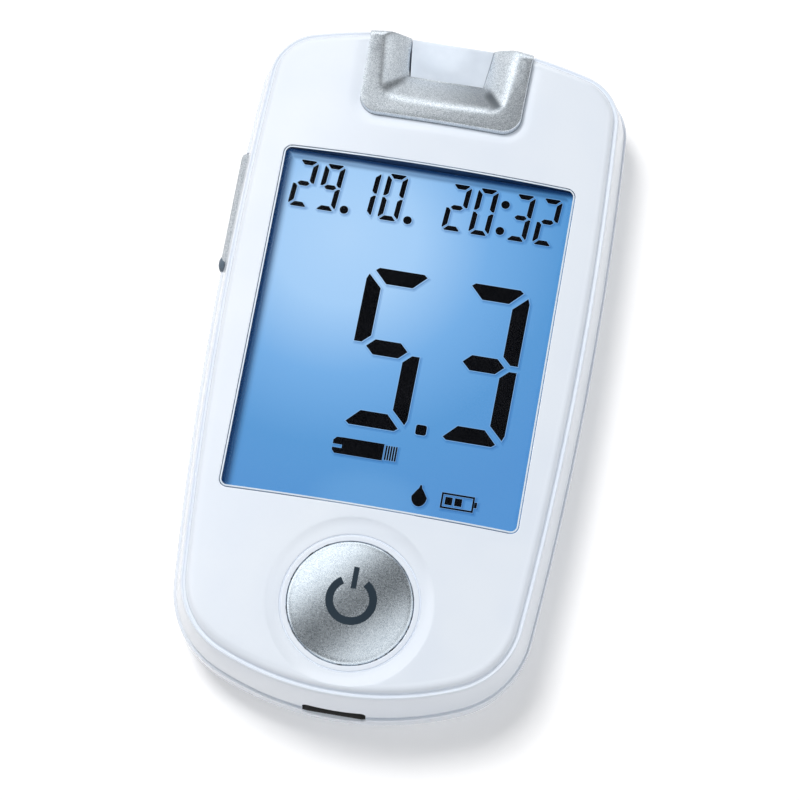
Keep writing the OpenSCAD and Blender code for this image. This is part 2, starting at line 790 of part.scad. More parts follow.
chip_x = -8;
chip_rise = 20.15;
memory_x = 9;
memory_rise = 4.15;
crystal_rise = 8.15;
chip_place = [chip_x, bay_edge_y + chip_rise];
memory_place = [memory_x, bay_edge_y + memory_rise];
crystal_place = [chip_x, bay_edge_y + crystal_rise];
crystal_reach = 2.6;
crystal_radius = 1.6;
crystal_height = 2;
chip_height = 1.4;
chip_lift = 0.1;
chip_base = board_bottom - chip_lift - chip_height;

module lead(width, inward, outward) {
    box([-inward, -width / 2, board_bottom - 0.5], [outward, width / 2, board_bottom]);
}

// Square package with a row of leads on each side
module controller_chip() {
    half = 4.5;
    leads = 8;
    pitch = 1;
    translate(chip_place) {
        color([0.15, 0.15, 0.16]) box([-half, -half, chip_base],
            [half, half, board_bottom - chip_lift]);
        color([0.7, 0.7, 0.7]) for (turn = [0:90:270], i = [0:leads - 1]) {
            rotate(turn) translate([half, (i - (leads - 1) / 2) * pitch]) lead(0.4, 0.1, 1);
        }
    }
}

module memory_chip() {
    half = [2.5, 2];
    leads = 4;
    pitch = 1.27;
    translate(memory_place) {
        color([0.15, 0.15, 0.16]) box([-half.x, -half.y, chip_base],
            [half.x, half.y, board_bottom - chip_lift]);
        color([0.7, 0.7, 0.7]) for (turn = [90, 270], i = [0:leads - 1]) {
            rotate(turn) translate([half.y, (i - (leads - 1) / 2) * pitch]) lead(0.4, 0.1, 0.9);
        }
    }
}

module crystal() {
    color([0.8, 0.8, 0.82]) translate(crystal_place)
        hull() for (side = [-1, 1]) {
            translate([side * crystal_reach, 0])
                rod(crystal_radius, board_bottom - crystal_height, board_bottom);
        }
}

module buzzer() {
    color([0.85, 0.7, 0.35]) translate(buzzer_place) {
        rod(buzzer_radius, buzzer_bottom, buzzer_bottom + 0.25);
        rod(buzzer_radius - 2, buzzer_bottom + 0.25, buzzer_bottom + 0.5);
    }
}

// ---- Data socket ----

module data_socket() {
    half = socket_body / 2;
    color([0.06, 0.06, 0.07]) difference() {
        translate([0, wall + fit - end_y, parting_height + socket_rise])
            box([-half.x, 0, -half.z], [half.x, socket_body.y, half.z]);
        socket_cut(contact_gap, wall + socket_depth - socket_back);
    }
}

module data_contacts() {
    color([0.85, 0.7, 0.3]) translate([0, wall - end_y, parting_height + socket_rise])
        for (i = [-2:2]) {
            translate([i * contact_pitch, 0])
                box([-contact_half, 1.4, -0.3], [contact_half, socket_depth - socket_back, 0]);
        }
}

// ---- Strip port ----

module block_plan(grow) {
    half = block_width / 2 + grow;
    far = block_length + 5;
    flared = half + block_flare * far / (2 * block_length);
    polygon([[-half, end_y - block_length - grow], [half, end_y - block_length - grow],
        [flared, end_y + 5], [-flared, end_y + 5]]);
}

// Ring of the scoop: the plan of the block blended toward the rim's inner edge
function scoop_ring(share, z) =
    let (
        mouth = [collar_width / 2 - collar_rim, collar_width / 2 + collar_flare / 2 - collar_rim],
        floor = [block_width / 2, block_width / 2 + block_flare / 2],
        near = floor.x + share * (mouth.x - floor.x),
        far = floor.y + share * (mouth.y - floor.y),
        foot = end_y - block_length
            - share * (collar_length - block_length - collar_foot),
        round = 0.4 + share * 1.8,
        beyond = end_y + 5,
        spread = far + (far - near) * 0.4
    )
    concat(
        [for (t = [0:22.5:90]) [near - round + round * sin(t), foot + round - round * cos(t), z]],
        [[spread, beyond, z], [-spread, beyond, z]],
        [for (t = [90:-22.5:0]) [-near + round - round * sin(t), foot + round - round * cos(t), z]]);

scoop_top = case_depth + collar_lift;

module scoop() {
    depth = scoop_top - block_height;
    steps = [0, 0.25, 0.5, 0.75, 0.92, 1];
    rings = concat(
        [for (s = steps) scoop_ring(s, block_height + depth * pow(s, 0.85))],
        [scoop_ring(1.1, scoop_top + slack)]);
    count = len(rings[0]);
    last = len(rings) - 1;
    points = [for (ring = rings) each ring];
    faces = concat(
        [[for (i = [0:count - 1]) i]],
        [for (k = [0:last - 1], i = [0:count - 1])
            let (a = k * count, j = (i + 1) % count) [a + i, a + count + i, a + count + j]],
        [for (k = [0:last - 1], i = [0:count - 1])
            let (a = k * count, j = (i + 1) % count) [a + i, a + count + j, a + j]],
        [[for (i = [count - 1:-1:0]) last * count + i]]);
    polyhedron(points, faces, convexity = 4);
}

flange_bottom = crown(collar_width / 2) - wall - 1.6;
flange_height = 1;
flange_reach = 1;

module port_collar() {
    end_wall = end_y - block_length - 0.9;
    core_half = [1.3, 2];
    color([0.75, 0.76, 0.78]) difference() {
        union() {
            intersection() {
                case_form(collar_proud, collar_lift, parting_height + fit);
                translate([0, 0, parting_height]) linear_extrude(case_depth) collar_plan(0);
            }
            // Flange under the face's skin
            intersection() {
                translate([0, 0, flange_bottom]) linear_extrude(flange_height) collar_plan(flange_reach);
                box([-side_x, 0, 0], [side_x, end_y - face_flat_inset - 2, case_depth]);
            }
        }
        scoop();
        translate([0, 0, parting_height - slack]) linear_extrude(block_height)
            block_plan(fit);
        box([-side_x, 0, 0], [side_x, end_wall, flange_bottom]);
        box([-side_x, 0, 0], [side_x, end_y - board_inset + 0.3, board_top + 0.1]);
        // Way for the strip between the light block and the connector
        box([-block_width / 2, end_wall - slack, 0], [block_width / 2, end_y - block_length,
            flange_bottom]);
        // Cores in the two horns
        for (side = [-1, 1]) {
            translate([side * (collar_width / 2 - 2.6), end_y - 5])
                box([-core_half.x, -core_half.y, 0], [core_half.x, core_half.y, block_height - 1]);
        }
    }
}

// Milky block between the collar's horns, with the strip's slot through it
module port_light_block() {
    slot = [strip_slot_width / 2, strip_slot_height / 2];
    rear = end_y - block_length;
    low = [end_y - rim_step - block_setback, board_top + fit];
    high = [end_y - shoulder_inset - block_setback, block_height];
    heel = board_inset - 0.2;
    color([0.97, 0.98, 1]) difference() {
        intersection() {
            linear_extrude(block_height) block_plan(0);
            rotate([90, 0, 90]) translate([0, 0, -side_x]) linear_extrude(case_width)
                polygon([[rear, low.y], [end_y - heel, low.y], [end_y - heel, parting_height + fit],
                    [low.x, parting_height + fit], high, [rear, high.y]]);
        }
        translate([0, 0, strip_z]) box([-slot.x, 0, -slot.y], [slot.x, end_y + slack, slot.y]);
    }
}

connector_end = end_y - block_length - 1.2;
connector_depth = 7.5;
contact_pitch = 1.2;
contact_half = 0.25;
contact_from = connector_end - 5.4;
contact_length = 4;

module strip_connector() {
    slot = strip_slot_width / 2 + contact_gap;
    half = slot + 2.5;
    slot_rise = 0.3;
    color([0.12, 0.12, 0.13]) difference() {
        box([-half, connector_end - connector_depth, board_top], [half, connector_end, strip_z + 1.6]);
        box([-slot, connector_end - connector_depth + 1.4, strip_z - slot_rise],
            [slot, connector_end + slack, strip_z + slot_rise]);
        for (i = [-2:2]) {
            translate([i * contact_pitch, contact_from])
                box([-contact_half - contact_gap, 0, strip_z],
                    [contact_half + contact_gap, contact_length, strip_z + 2]);
        }
    }
}

module strip_contacts() {
    color([0.9, 0.75, 0.3]) for (i = [-2:2]) {
        translate([i * contact_pitch, contact_from])
            box([-contact_half, contact_gap, strip_z + 0.4],
                [contact_half, contact_length - contact_gap, strip_z + 0.7]);
    }
}

// ---- Power button ----

button_rim_z = dish_floor + 0.15;
flange_top = guide_bottom_z - 0.3;
flange_thickness = 0.9;
ear_gap = 0.1;
stem_radius = 1.6;
stem_well = 1.4;
switch_half = 3;
switch_top = board_top + 3;
stem_top = flange_top - flange_thickness - 0.4;

module power_button() {
    radius = (button_radius * button_radius + button_dome * button_dome) / (2 * button_dome);
    steps = 8;
    edge = 0.35;
    skirt = button_radius - 1.2;
    hollow_z = button_rim_z - 1.5;
    pad = stem_radius + 0.4;
    dome = [for (i = [0:steps]) let (x = (button_radius - edge) * i / steps)
        [x, button_rim_z + button_dome - radius + sqrt(radius * radius - x * x)]];
    color([0.72, 0.73, 0.75]) translate([0, button_y]) {
        difference() {
            union() {
                rotate_extrude() polygon(concat(dome,
                    [[button_radius, button_rim_z - edge], [button_radius, flange_top],
                        [button_radius + 0.7, flange_top],
                        [button_radius + 0.7, flange_top - flange_thickness],
                        [skirt, flange_top - flange_thickness], [skirt, hollow_z], [pad, hollow_z],
                        [pad, stem_top], [0, stem_top]]));
                for (side = [-1, 1]) {
                    translate([side * ear_reach, 0])
                        rod(ear_radius, flange_top - flange_thickness, flange_top);
                }
            }
            for (side = [-1, 1]) {
                translate([side * ear_reach, 0]) rod(ear_pin_radius + ear_gap, 0, case_depth);
            }
        }
    }
}

module power_switch() {
    color([0.15, 0.15, 0.16]) translate([0, button_y]) difference() {
        box([-switch_half, -switch_half, board_top], [switch_half, switch_half, switch_top]);
        rod(stem_radius + ear_gap, switch_top - stem_well, switch_top + slack);
    }
}

module power_switch_stem() {
    color([0.3, 0.3, 0.32]) translate([0, button_y])
        rod(stem_radius, switch_top - stem_well + button_travel + 0.2, stem_top);
}

// ---- Side key ----

key_outer_x = -side_x - key_proud;
side_switch_drop = 1.2;
side_switch_foot = 1.1;
side_switch_near = 1.3;
side_switch_far = 4.4;
side_switch_half = 1.8;
side_stem_half = [0.6, 0.45];
side_stem_gap = 0.15;
side_stem_reach = 1.9;
key_web = 0.3;
side_switch_z = board_bottom - side_switch_drop;

// Bar with rounded ends, an inner flange that keeps it in the slot, and a hub on the pin
module side_key() {
    half = [key_length / 2, key_height / 2];
    flange_low = side_switch_z - 0.7;
    color([0.7, 0.71, 0.73]) difference() {
        union() {
            translate([key_outer_x, key_y, key_z]) {
                rotate([0, 90, 0]) linear_extrude(0.6)
                    rounded_plate([2 * half.y - 0.8, 2 * half.x - 0.8], half.y - 0.5);
                translate([0.4, 0, 0]) rotate([0, 90, 0]) linear_extrude(pin_x - key_outer_x - 0.4)
                    rounded_plate([2 * half.y, 2 * half.x], half.y - 0.1);
            }
            box([pin_x - 0.5, key_y - half.x + 0.5, flange_low],
                [pin_x + key_web, key_y + half.x - 0.5, key_z + half.y]);
            translate([pin_x, key_y]) rod(key_hub_radius, key_z - half.y, key_z + half.y);
        }
        translate([pin_x, key_y]) rod(key_pin_radius + fit, 0, case_depth);
        translate([pin_x, key_y]) box([-2, -key_hub_radius - 0.5, 0],
            [2, key_hub_radius + 0.5, key_z - half.y]);
    }
}

module side_key_pin() {
    color([0.8, 0.8, 0.82]) translate([pin_x, key_y])
        rod(key_pin_radius, pin_foot - pin_hold - 0.8, key_z + key_height / 2 + pin_hold);
}

module side_switches() {
    color([0.15, 0.15, 0.16]) for (side = [-1, 1]) {
        translate([0, key_y + side * key_switch_reach, side_switch_z]) difference() {
            box([pin_x + side_switch_near, -side_switch_half, -side_switch_foot],
                [pin_x + side_switch_far, side_switch_half, side_switch_drop]);
            box([pin_x + side_switch_near - slack, -side_stem_half.x - side_stem_gap - contact_gap,
                -side_stem_half.y - side_stem_gap],
                [pin_x + side_stem_reach + 0.5, side_stem_half.x + side_stem_gap + contact_gap,
                side_stem_half.y + side_stem_gap]);
        }
    }
}

module side_switch_stems() {
    color([0.85, 0.85, 0.8]) for (side = [-1, 1]) {
        translate([0, key_y + side * key_switch_reach, side_switch_z])
            box([pin_x + key_web, -side_stem_half.x, -side_stem_half.y],
                [pin_x + side_stem_reach, side_stem_half.x, side_stem_half.y]);
    }
}

// ---- Screws ----

module case_screws() {
    color([0.6, 0.61, 0.63]) for (place = screw_places) {
        translate(place) difference() {
            union() {
                rod(screw_head_radius, screw_recess - head_height, screw_recess);
                rod(screw_radius, screw_recess - 0.2, screw_top);
            }
            for (turn = [0, 90]) {
                rotate(turn) translate([0, 0, screw_recess - head_height])
                    cube([1.3 * screw_head_radius, 0.5, head_height], center = true);
            }
        }
    }
}

upper_shell();
lower_shell();
display_window();
window_tape();
port_collar();
port_light_block();
strip_connector();
strip_contacts();
power_button();
power_switch();
power_switch_stem();
side_key();
side_key_pin();
side_switches();
side_switch_stems();
lcd_panel();
backlight_plate();
backlight_leds();
lcd_frame();
zebra_strip();
main_board();
controller_chip();
memory_chip();
crystal();
buzzer();
data_socket();
data_contacts();
left_cell();
right_cell();
negative_contacts();
positive_contacts();
battery_door();
case_screws();
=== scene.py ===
from math import asin, atan2, cos, degrees, exp, hypot, pi, radians, sin, sqrt

import bmesh
import bpy
from mathutils import Matrix, Vector
from mathutils.geometry import delaunay_2d_cdt


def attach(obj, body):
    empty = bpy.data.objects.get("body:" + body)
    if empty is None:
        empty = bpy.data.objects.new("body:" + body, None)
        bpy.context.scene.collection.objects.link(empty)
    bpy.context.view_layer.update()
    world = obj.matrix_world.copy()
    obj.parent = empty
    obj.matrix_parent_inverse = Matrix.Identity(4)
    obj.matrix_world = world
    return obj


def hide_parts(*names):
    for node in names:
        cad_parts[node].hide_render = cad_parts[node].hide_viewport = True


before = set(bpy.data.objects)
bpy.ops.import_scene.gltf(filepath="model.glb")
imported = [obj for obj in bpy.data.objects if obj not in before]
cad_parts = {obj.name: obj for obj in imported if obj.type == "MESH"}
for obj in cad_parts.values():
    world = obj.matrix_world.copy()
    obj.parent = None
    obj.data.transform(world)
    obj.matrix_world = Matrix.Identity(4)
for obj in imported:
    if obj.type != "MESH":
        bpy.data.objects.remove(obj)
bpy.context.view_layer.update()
scene = bpy.context.scene

# ---- Lower case half ----
# An injection-moulded tray of gloss white plastic with a flat back and a rounded edge, open
# at the top. Its rim carries the tongue that the upper half sits on, and the battery bay and
# the four screw wells are moulded into it. All sizes are in millimetres until a piece is done.

END_Y, SIDE_X = 97.3 / 2, 53.2 / 2
PARTING, WALL = 8.0, 1.6
WITHIN = 0.022  # how far the visible case lies inside its solid


def heading(v):
    return degrees(atan2(v[1], v[0]))


def meeting(a, ra, b, rb, upper):
    """The crossing of two circles on the right-hand side, the upper or the lower one."""
    span = (b - a).length
    along = (ra * ra - rb * rb + span * span) / (2 * span)
    off = sqrt(ra * ra - along * along)
    way = (b - a) / span
    left = Vector((-way.y, way.x))
    both = [a + along * way + off * left, a + along * way - off * left]
    return max(both, key=lambda p: p.y if upper else -p.y)


top_middle = Vector((0, END_Y - 89))
low_middle = Vector((0, 41 - END_Y))
side_middle = Vector((SIDE_X - 520, END_Y - 36.4))
top_corner = meeting(side_middle, 520 - 8, top_middle, 89 - 8, True)
low_corner = meeting(side_middle, 520 - 13.2, low_middle, 41 - 13.2, False)
OUTLINE_ARCS = [
    (low_middle, 41, -90, heading(low_corner - low_middle), 22),
    (low_corner, 13.2, heading(low_corner - low_middle), heading(low_corner - side_middle), 26),
    (side_middle, 520, heading(low_corner - side_middle), heading(top_corner - side_middle), 30),
    (top_corner, 8, heading(top_corner - side_middle), heading(top_corner - top_middle), 24),
    (top_middle, 89, heading(top_corner - top_middle), 90, 20),
]


def outline(inset):
    """The case's outline moved in by an inset, anticlockwise from the middle of the lower end."""
    half, inset = [], inset + WITHIN
    for middle, radius, start, end, steps in OUTLINE_ARCS:
        for i in range(steps):
            turn = radians(start + (end - start) * i / steps)
            half.append((middle.x + (radius - inset) * cos(turn),
                         middle.y + (radius - inset) * sin(turn)))
    return half + [(0.0, END_Y - inset)] + [(-x, y) for x, y in half[:0:-1]]


def inset_of(x, y):
    """How far inside the outline a point is, where it is near enough to matter."""
    found = 99.0
    for middle, radius, start, end, _ in OUTLINE_ARCS:
        v = Vector((abs(x), y)) - middle
        if start - 0.01 <= heading(v) <= end + 0.01:
            found = min(found, radius - v.length)
    return found


def level(inset, z):
    return [(x, y, z) for x, y in outline(inset)]


class Solid:
    """Points and faces of one piece in the making, in millimetres."""

    def __init__(self):
        self.points, self.faces = [], []

    def loop(self, points):
        first = len(self.points)
        self.points += [tuple(p) for p in points]
        return list(range(first, len(self.points)))

    def strip(self, a, b):
        n = len(a)
        self.faces += [(a[i], a[(i + 1) % n], b[(i + 1) % n], b[i]) for i in range(n)]

    def stack(self, loops):
        for a, b in zip(loops, loops[1:]):
            self.strip(a, b)
        return loops

    def cap(self, loop):
        self.faces.append(tuple(loop))

    def rings(self, rings, closed=False):
        """Stacked rings: capped at both ends, or joined into one closed ring of rings."""
        loops = self.stack([self.loop(r) for r in rings])
        if closed:
            self.strip(loops[-1], loops[0])
        else:
            self.cap(loops[0])
            self.cap(loops[-1])

    def box(self, low, high):
        (x0, y0, z0), (x1, y1, z1) = low, high
        self.rings([[(x0, y0, z), (x1, y0, z), (x1, y1, z), (x0, y1, z)] for z in (z0, z1)])

    def object(self, name):
        mesh = bpy.data.meshes.new(name)
        mesh.from_pydata(self.points, [], self.faces)
        work = bmesh.new()
        work.from_mesh(mesh)
        bmesh.ops.recalc_face_normals(work, faces=work.faces)
        work.to_mesh(mesh)
        work.free()
        made = bpy.data.objects.new(name, mesh)
        scene.collection.objects.link(made)
        return made


def circle(middle, radius, z, steps=64):
    return [(middle[0] + radius * cos(2 * pi * i / steps),
             middle[1] + radius * sin(2 * pi * i / steps), z) for i in range(steps)]


def plate(middle, half, corner, z, side=10, turn=6):
    """A rectangle with rounded corners, always with the same number of points."""
    def at(k, angle):
        sx, sy = ((1, 1), (-1, 1), (-1, -1), (1, -1))[k % 4]
        return (sx * (half[0] - corner) + corner * cos(radians(angle)),
                sy * (half[1] - corner) + corner * sin(radians(angle)))

    points = []
    for k in range(4):
        points += [at(k, 90 * k + 90 * i / turn) for i in range(turn + 1)]
        (x0, y0), (x1, y1) = points[-1], at(k + 1, 90 * (k + 1))
        points += [(x0 + (x1 - x0) * i / side, y0 + (y1 - y0) * i / side)
                   for i in range(1, side)]
    return [(middle[0] + x, middle[1] + y, z) for x, y in points]


def carve(target, *cutters):
    """Cuts solids out of a piece and drops them."""
    for cutter in cutters:
        tool = cutter.object("cutter")
        cut = target.modifiers.new("cut", "BOOLEAN")
        cut.operation, cut.solver, cut.object = "DIFFERENCE", "EXACT", tool
        bpy.context.view_layer.update()
        shape = bpy.data.meshes.new_from_object(
            target.evaluated_get(bpy.context.evaluated_depsgraph_get()))
        target.modifiers.clear()
        target.data = shape
        bpy.data.objects.remove(tool)


def add(target, solid):
    """Adds a finished solid to a piece as it is."""
    other = solid.object("addition")
    work = bmesh.new()
    work.from_mesh(target.data)
    work.from_mesh(other.data)
    work.to_mesh(target.data)
    work.free()
    bpy.data.objects.remove(other)


def finish_piece(obj, body, slot, *materials, stands_for=(), sharp=32):
    """Puts a piece in place at its real size, smooth between its edges, on its body."""
    obj.data.transform(Matrix.Scale(0.001, 4))
    obj.data.materials.clear()
    for material in materials:
        obj.data.materials.append(material)
    obj.data.shade_smooth()
    obj.data.set_sharp_from_angle(angle=radians(sharp))
    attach(obj, body)
    if stands_for:
        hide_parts(*stands_for)
    return obj


class Wire:
    """A socket of a material, so that shader sums can be written as plain arithmetic."""

    def __init__(self, tree, socket=None):
        self.tree, self.socket = tree, socket

    def node(self, kind, settings=None, inputs=None, out=0):
        made = self.tree.nodes.new(kind)
        for key, value in (settings or {}).items():
            if key == "stops":
                ramp = made.color_ramp.elements
                while len(ramp) < len(value):
                    ramp.new(0.5)
                for stop, (place, colour) in zip(ramp, value):
                    stop.position, stop.color = place, (*colour, 1)
            else:
                setattr(made, key, value)
        for key, value in (inputs or {}).items():
            if isinstance(value, Wire):
                self.tree.links.new(value.socket, made.inputs[key])
            else:
                made.inputs[key].default_value = value
        return Wire(self.tree, made.outputs[out])

    def sum(self, operation, a, b=0.0):
        return self.node("ShaderNodeMath", {"operation": operation}, {0: a, 1: b})

    def __add__(self, other):
        return self.sum("ADD", self, other)

    __radd__ = __add__

    def __sub__(self, other):
        return self.sum("SUBTRACT", self, other)

    def __rsub__(self, other):
        return self.sum("SUBTRACT", other, self)

    def __mul__(self, other):
        return self.sum("MULTIPLY", self, other)

    __rmul__ = __mul__

    def __truediv__(self, other):
        return self.sum("DIVIDE", self, other)

    def __pow__(self, other):
        return self.sum("POWER", self, other)

    def most(self, other):
        return self.sum("MAXIMUM", self, other)

    def fade(self, start, end):
        """0 before start, 1 past end, smooth between."""
        return self.node("ShaderNodeMapRange", {"interpolation_type": "SMOOTHSTEP"},
                         {"Value": self, "From Min": start, "From Max": end})

    def mix(self, a, b):
        """Colour a where this is 0, colour b where it is 1."""
        def colour(c):
            return c if isinstance(c, Wire) else (*c, 1)
        return self.node("ShaderNodeMix", {"data_type": "RGBA"},
                         {0: self, 6: colour(a), 7: colour(b)}, out=2)

    def noise(self, scale, detail=2.0, rough=0.5):
        """Noise with about that many features per millimetre."""
        return self.node("ShaderNodeTexNoise", {},
                         {"Vector": self, "Scale": scale, "Detail": detail, "Roughness": rough})

    def bump(self, strength, distance):
        return self.node("ShaderNodeBump", {}, {"Height": self, "Strength": strength,
                                                "Distance": distance * 0.001})


def sheer(r, g, b):
    """A colour given as it looks on a screen, 0 to 255, as the light it stands for."""
    return tuple(c / 255 / 12.92 if c < 11 else ((c / 255 + 0.055) / 1.055) ** 2.4
                 for c in (r, g, b))


class Finish:
    """A material in the making: its constants are set at once, and what varies is linked."""

    def __init__(self, name, **constants):
        self.material = bpy.data.materials.new(name)
        self.material.use_nodes = True
        self.tree = self.material.node_tree
        self.shader = self.tree.nodes["Principled BSDF"]
        for key, value in constants.items():
            socket = key.replace("_", " ").title().replace("Ior", "IOR")
            self.shader.inputs[socket].default_value = value
        spot = Wire(self.tree).node("ShaderNodeTexCoord", out="Object")
        self.at = spot.node("ShaderNodeVectorMath", {"operation": "SCALE"},
                            {0: spot, "Scale": 1000.0})
        axes = self.at.node("ShaderNodeSeparateXYZ", {}, {0: self.at}).socket.node
        self.x, self.y, self.z = (Wire(self.tree, axes.outputs[i]) for i in range(3))

    def drift(self, scale, detail=2):
        """A slow change over the piece between 0 and 1."""
        return self.at.noise(scale, detail).fade(0.3, 0.7)

    def link(self, **wires):
        for key, wire in wires.items():
            self.tree.links.new(wire.socket, self.shader.inputs[key.replace("_", " ").title()])
        return self.material


def moulded(name, light, dark, roughness, grain=0.02, **constants):
    """Moulded plastic: a faint drift of tone, a little uneven gloss and a fine skin."""
    made = Finish(name, **constants)
    skin = made.at.noise(2.6, 3, 0.6)
    return made.link(base_color=made.drift(0.07).mix(sheer(*light), sheer(*dark)),
                     roughness=roughness + 0.08 * (made.at.noise(0.35, 3) - 0.5),
                     normal=skin.bump(grain, 0.02))


case_white = moulded("gloss_white_plastic", (233, 239, 247), (228, 235, 245), 0.2,
                     coat_weight=0.35, coat_roughness=0.08, specular_ior_level=0.5)

BAY_MIDDLE = (0, 31.6 - END_Y)
BAY_HALF, BAY_CORNER = (20.4 / 2 + 10.3, 11.1), 2.5
BAY_CEILING = 5.8
EDGE_ROUND = 4.4
SCREWS = [(s * (SIDE_X - 7.4), END_Y - 10.2) for s in (1, -1)]
SCREWS += [(s * (SIDE_X - 12.2), 8.7 - END_Y) for s in (1, -1)]
KEY_Y, KEY_PIN_X = END_Y - 29, 3.3 - SIDE_X


def sweep(steps):
    """Turns of the curved edge, from upright at the rim to flat at the back."""
    return [radians(90 * (1 - i / steps)) for i in range(steps + 1)]


tray = Solid()
rim_z = PARTING - 0.7
outside = [tray.loop(level(inset, z)) for inset, z in (
    (0.22, PARTING), (0.08, PARTING - 0.05), (0, PARTING - 0.3),
    *((EDGE_ROUND * (1 - sin(t)) ** 1.35, rim_z * (1 - cos(t))) for t in sweep(16)))]
inside = [tray.loop(level(inset, z)) for inset, z in (
    (1.15, PARTING), (1.15, PARTING + 1.3), (1.9, PARTING + 1.3), (1.9, PARTING),
    *((WALL + EDGE_ROUND * (1 - sin(t)) ** 1.2, WALL + (rim_z - WALL) * (1 - cos(t)))
      for t in sweep(8)))]
tray.strip(outside[0], inside[0])
tray.stack(outside)
tray.stack(inside)
tray.cap(outside[-1])
tray.cap(inside[-1])
lower_case = tray.object("lower_case")


def prism(loop, lift):
    """A loop pushed along a vector into a solid."""
    made = Solid()
    made.rings([loop, [(x + lift[0], y + lift[1], z + lift[2]) for x, y, z in loop]])
    return made


def side_slot(grow):
    """The slot that the side key works in, through the left wall."""
    flat = plate((0, 0), (8.6 + grow, 1.5 + grow), 1.4 + grow, 0)
    return prism([(-SIDE_X - 3, KEY_Y + a, PARTING + b) for a, b, _ in flat], (5.6, 0, 0))


def cable_slot():
    """The slot for the cable's plug, with a bevelled mouth, through the lower end."""
    made = Solid()
    made.rings([[(x, y, z + PARTING + 0.5) for x, z, _ in
                 plate((0, 0), (4.3 + grow, 1.2 + grow), 0.8 + grow, 0)]
                for y, grow in ((-END_Y - 0.7, 0.7), (-END_Y + 0.45, 0), (-END_Y + 5, 0))])
    return made


def bay_plate(grow, z):
    return plate(BAY_MIDDLE, (BAY_HALF[0] + grow, BAY_HALF[1] + grow), BAY_CORNER + grow, z)


thumb = [(6 * cos(t), BAY_MIDDLE[1] - BAY_HALF[1] + 0.1 + 6 * sin(t), -1)
         for t in (radians(180 + 6 * i) for i in range(31))]
bay_mouth = prism(bay_plate(0, -1), (0, 0, 4))
carve(lower_case, bay_mouth, prism(thumb, (0, 0, 1.8)), side_slot(0.3), cable_slot(),
      *[prism(circle(place, 2.1, -1), (0, 0, 5)) for place in SCREWS])

BAY_WALL, BAY_ROOF = 0.9, BAY_CEILING + 0.8
bay = Solid()
bay.rings([bay_plate(0, BAY_WALL), bay_plate(0, BAY_CEILING),
           plate(BAY_MIDDLE, (0.5, 0.3), 0.1, BAY_CEILING),
           plate(BAY_MIDDLE, (0.5, 0.3), 0.1, BAY_ROOF),
           bay_plate(BAY_WALL, BAY_ROOF), bay_plate(BAY_WALL, BAY_WALL)], closed=True)
bay.rings([plate(BAY_MIDDLE, (0.6, 0.4), 0.1, z) for z in (BAY_CEILING - 0.01, BAY_CEILING + 0.81)])
add(lower_case, bay)
WELL_PROFILE = ((2.1, 0.9), (2.8, 0.9), (2.8, 7.2), (1.15, 7.2), (1.15, 3), (2.1, 3))
for place in SCREWS:
    well = Solid()
    well.rings([circle(place, r, z) for r, z in WELL_PROFILE], closed=True)
    add(lower_case, well)
# The cable slot's walls are near black: painted shade in the recess.
slot_wall_painted_shade = moulded("slot_wall_painted_shade", (14, 15, 17), (9, 10, 12), 0.5)
finish_piece(lower_case, "housing", "shell_white", case_white, slot_wall_painted_shade,
             stands_for=["lower_shell"])

# ---- Upper case half ----
# The moulded cover of the same white plastic: a crowned face with a rolled edge and a fine
# groove round it, a dish for the button, the display's opening and the seat of the port's
# collar. It drops over the tray's tongue and four screws from the back pull it down.


FACE_TOP, CROWN = 17, 150


def crown(x):
    """Height of the face, a flat arch across the case."""
    return FACE_TOP - CROWN + sqrt(CROWN * CROWN - x * x)


BUTTON = (0, 13.9 - END_Y)
WINDOW = (0, END_Y - 20.8 - 49.5 / 2)
WINDOW_HALF = (40.6 / 2, 49.5 / 2)
SEAT_HALF, SEAT_CORNER = (20.36, 24.81), 1.16
FRAME_HALF, FRAME_CORNER = (21.9, 26.35), 2.3
LEDGE_HALF, LEDGE_CORNER = (19.6, 24.05), 0.7
LEDGE_Z, RIM_FOOT_Z = 14.17, 13.27


def beyond_plate(x, y, middle, half, corner):
    """Distance outside a rounded rectangle, negative within it."""
    dx = abs(x - middle[0]) - half[0] + corner
    dy = abs(y - middle[1]) - half[1] + corner
    return hypot(max(dx, 0), max(dy, 0)) + min(max(dx, dy), 0) - corner


COLLAR_LENGTH, COLLAR_HALF, COLLAR_CORNER = 14.75, 11.2, 2.6
COLLAR_FOOT = END_Y - COLLAR_LENGTH


def beyond_collar(x, y):
    """Distance outside the collar's outline, measured to its foot, corners and sides."""
    half = COLLAR_HALF + 0.6 * (y - COLLAR_FOOT) / (2 * COLLAR_LENGTH)
    return beyond_plate(x, y, (0, COLLAR_FOOT + 40), (half, 40), COLLAR_CORNER)


def settled(points, beyond):
    """Points moved straight along x or y, or across a corner, until they lie on an outline."""
    found = []
    for x, y in points:
        for _ in range(6):
            d = beyond(x, y)
            gx = (beyond(x + 0.01, y) - d) / 0.01
            gy = (beyond(x, y + 0.01) - d) / 0.01
            size = max(gx * gx + gy * gy, 0.2)
            x, y = x - d * gx / size, y - d * gy / size
        found.append((x, y))
    return found


def horns(half, foot, corner, top, spread_out, steps, beyond):
    """A line from the right horn round the foot to the left one, settled on an outline."""
    side, turn, across = steps
    points = [(half + spread_out, top - (top - foot - corner) * i / side) for i in range(side)]
    points += [(half - corner + corner * cos(radians(90 * i / turn)),
                foot + corner - corner * sin(radians(90 * i / turn)))
               for i in range(turn + 1)]
    points += [((half - corner) * (1 - i / across), foot) for i in range(1, across + 1)]
    points = settled(points, beyond)
    return points + [(-x, y) for x, y in points[-2::-1]]


def collar_plan(grow):
    return horns(COLLAR_HALF + grow, COLLAR_FOOT - grow, COLLAR_CORNER + grow, END_Y + 2, 0.4,
                 (24, 15, 12), lambda x, y: beyond_collar(x, y) - grow)


def rolled(e, radius):
    """Drop of a rounded edge at distance e from it."""
    return radius - sqrt(radius * radius - (radius - e) ** 2) if 0 <= e < radius else 0.0


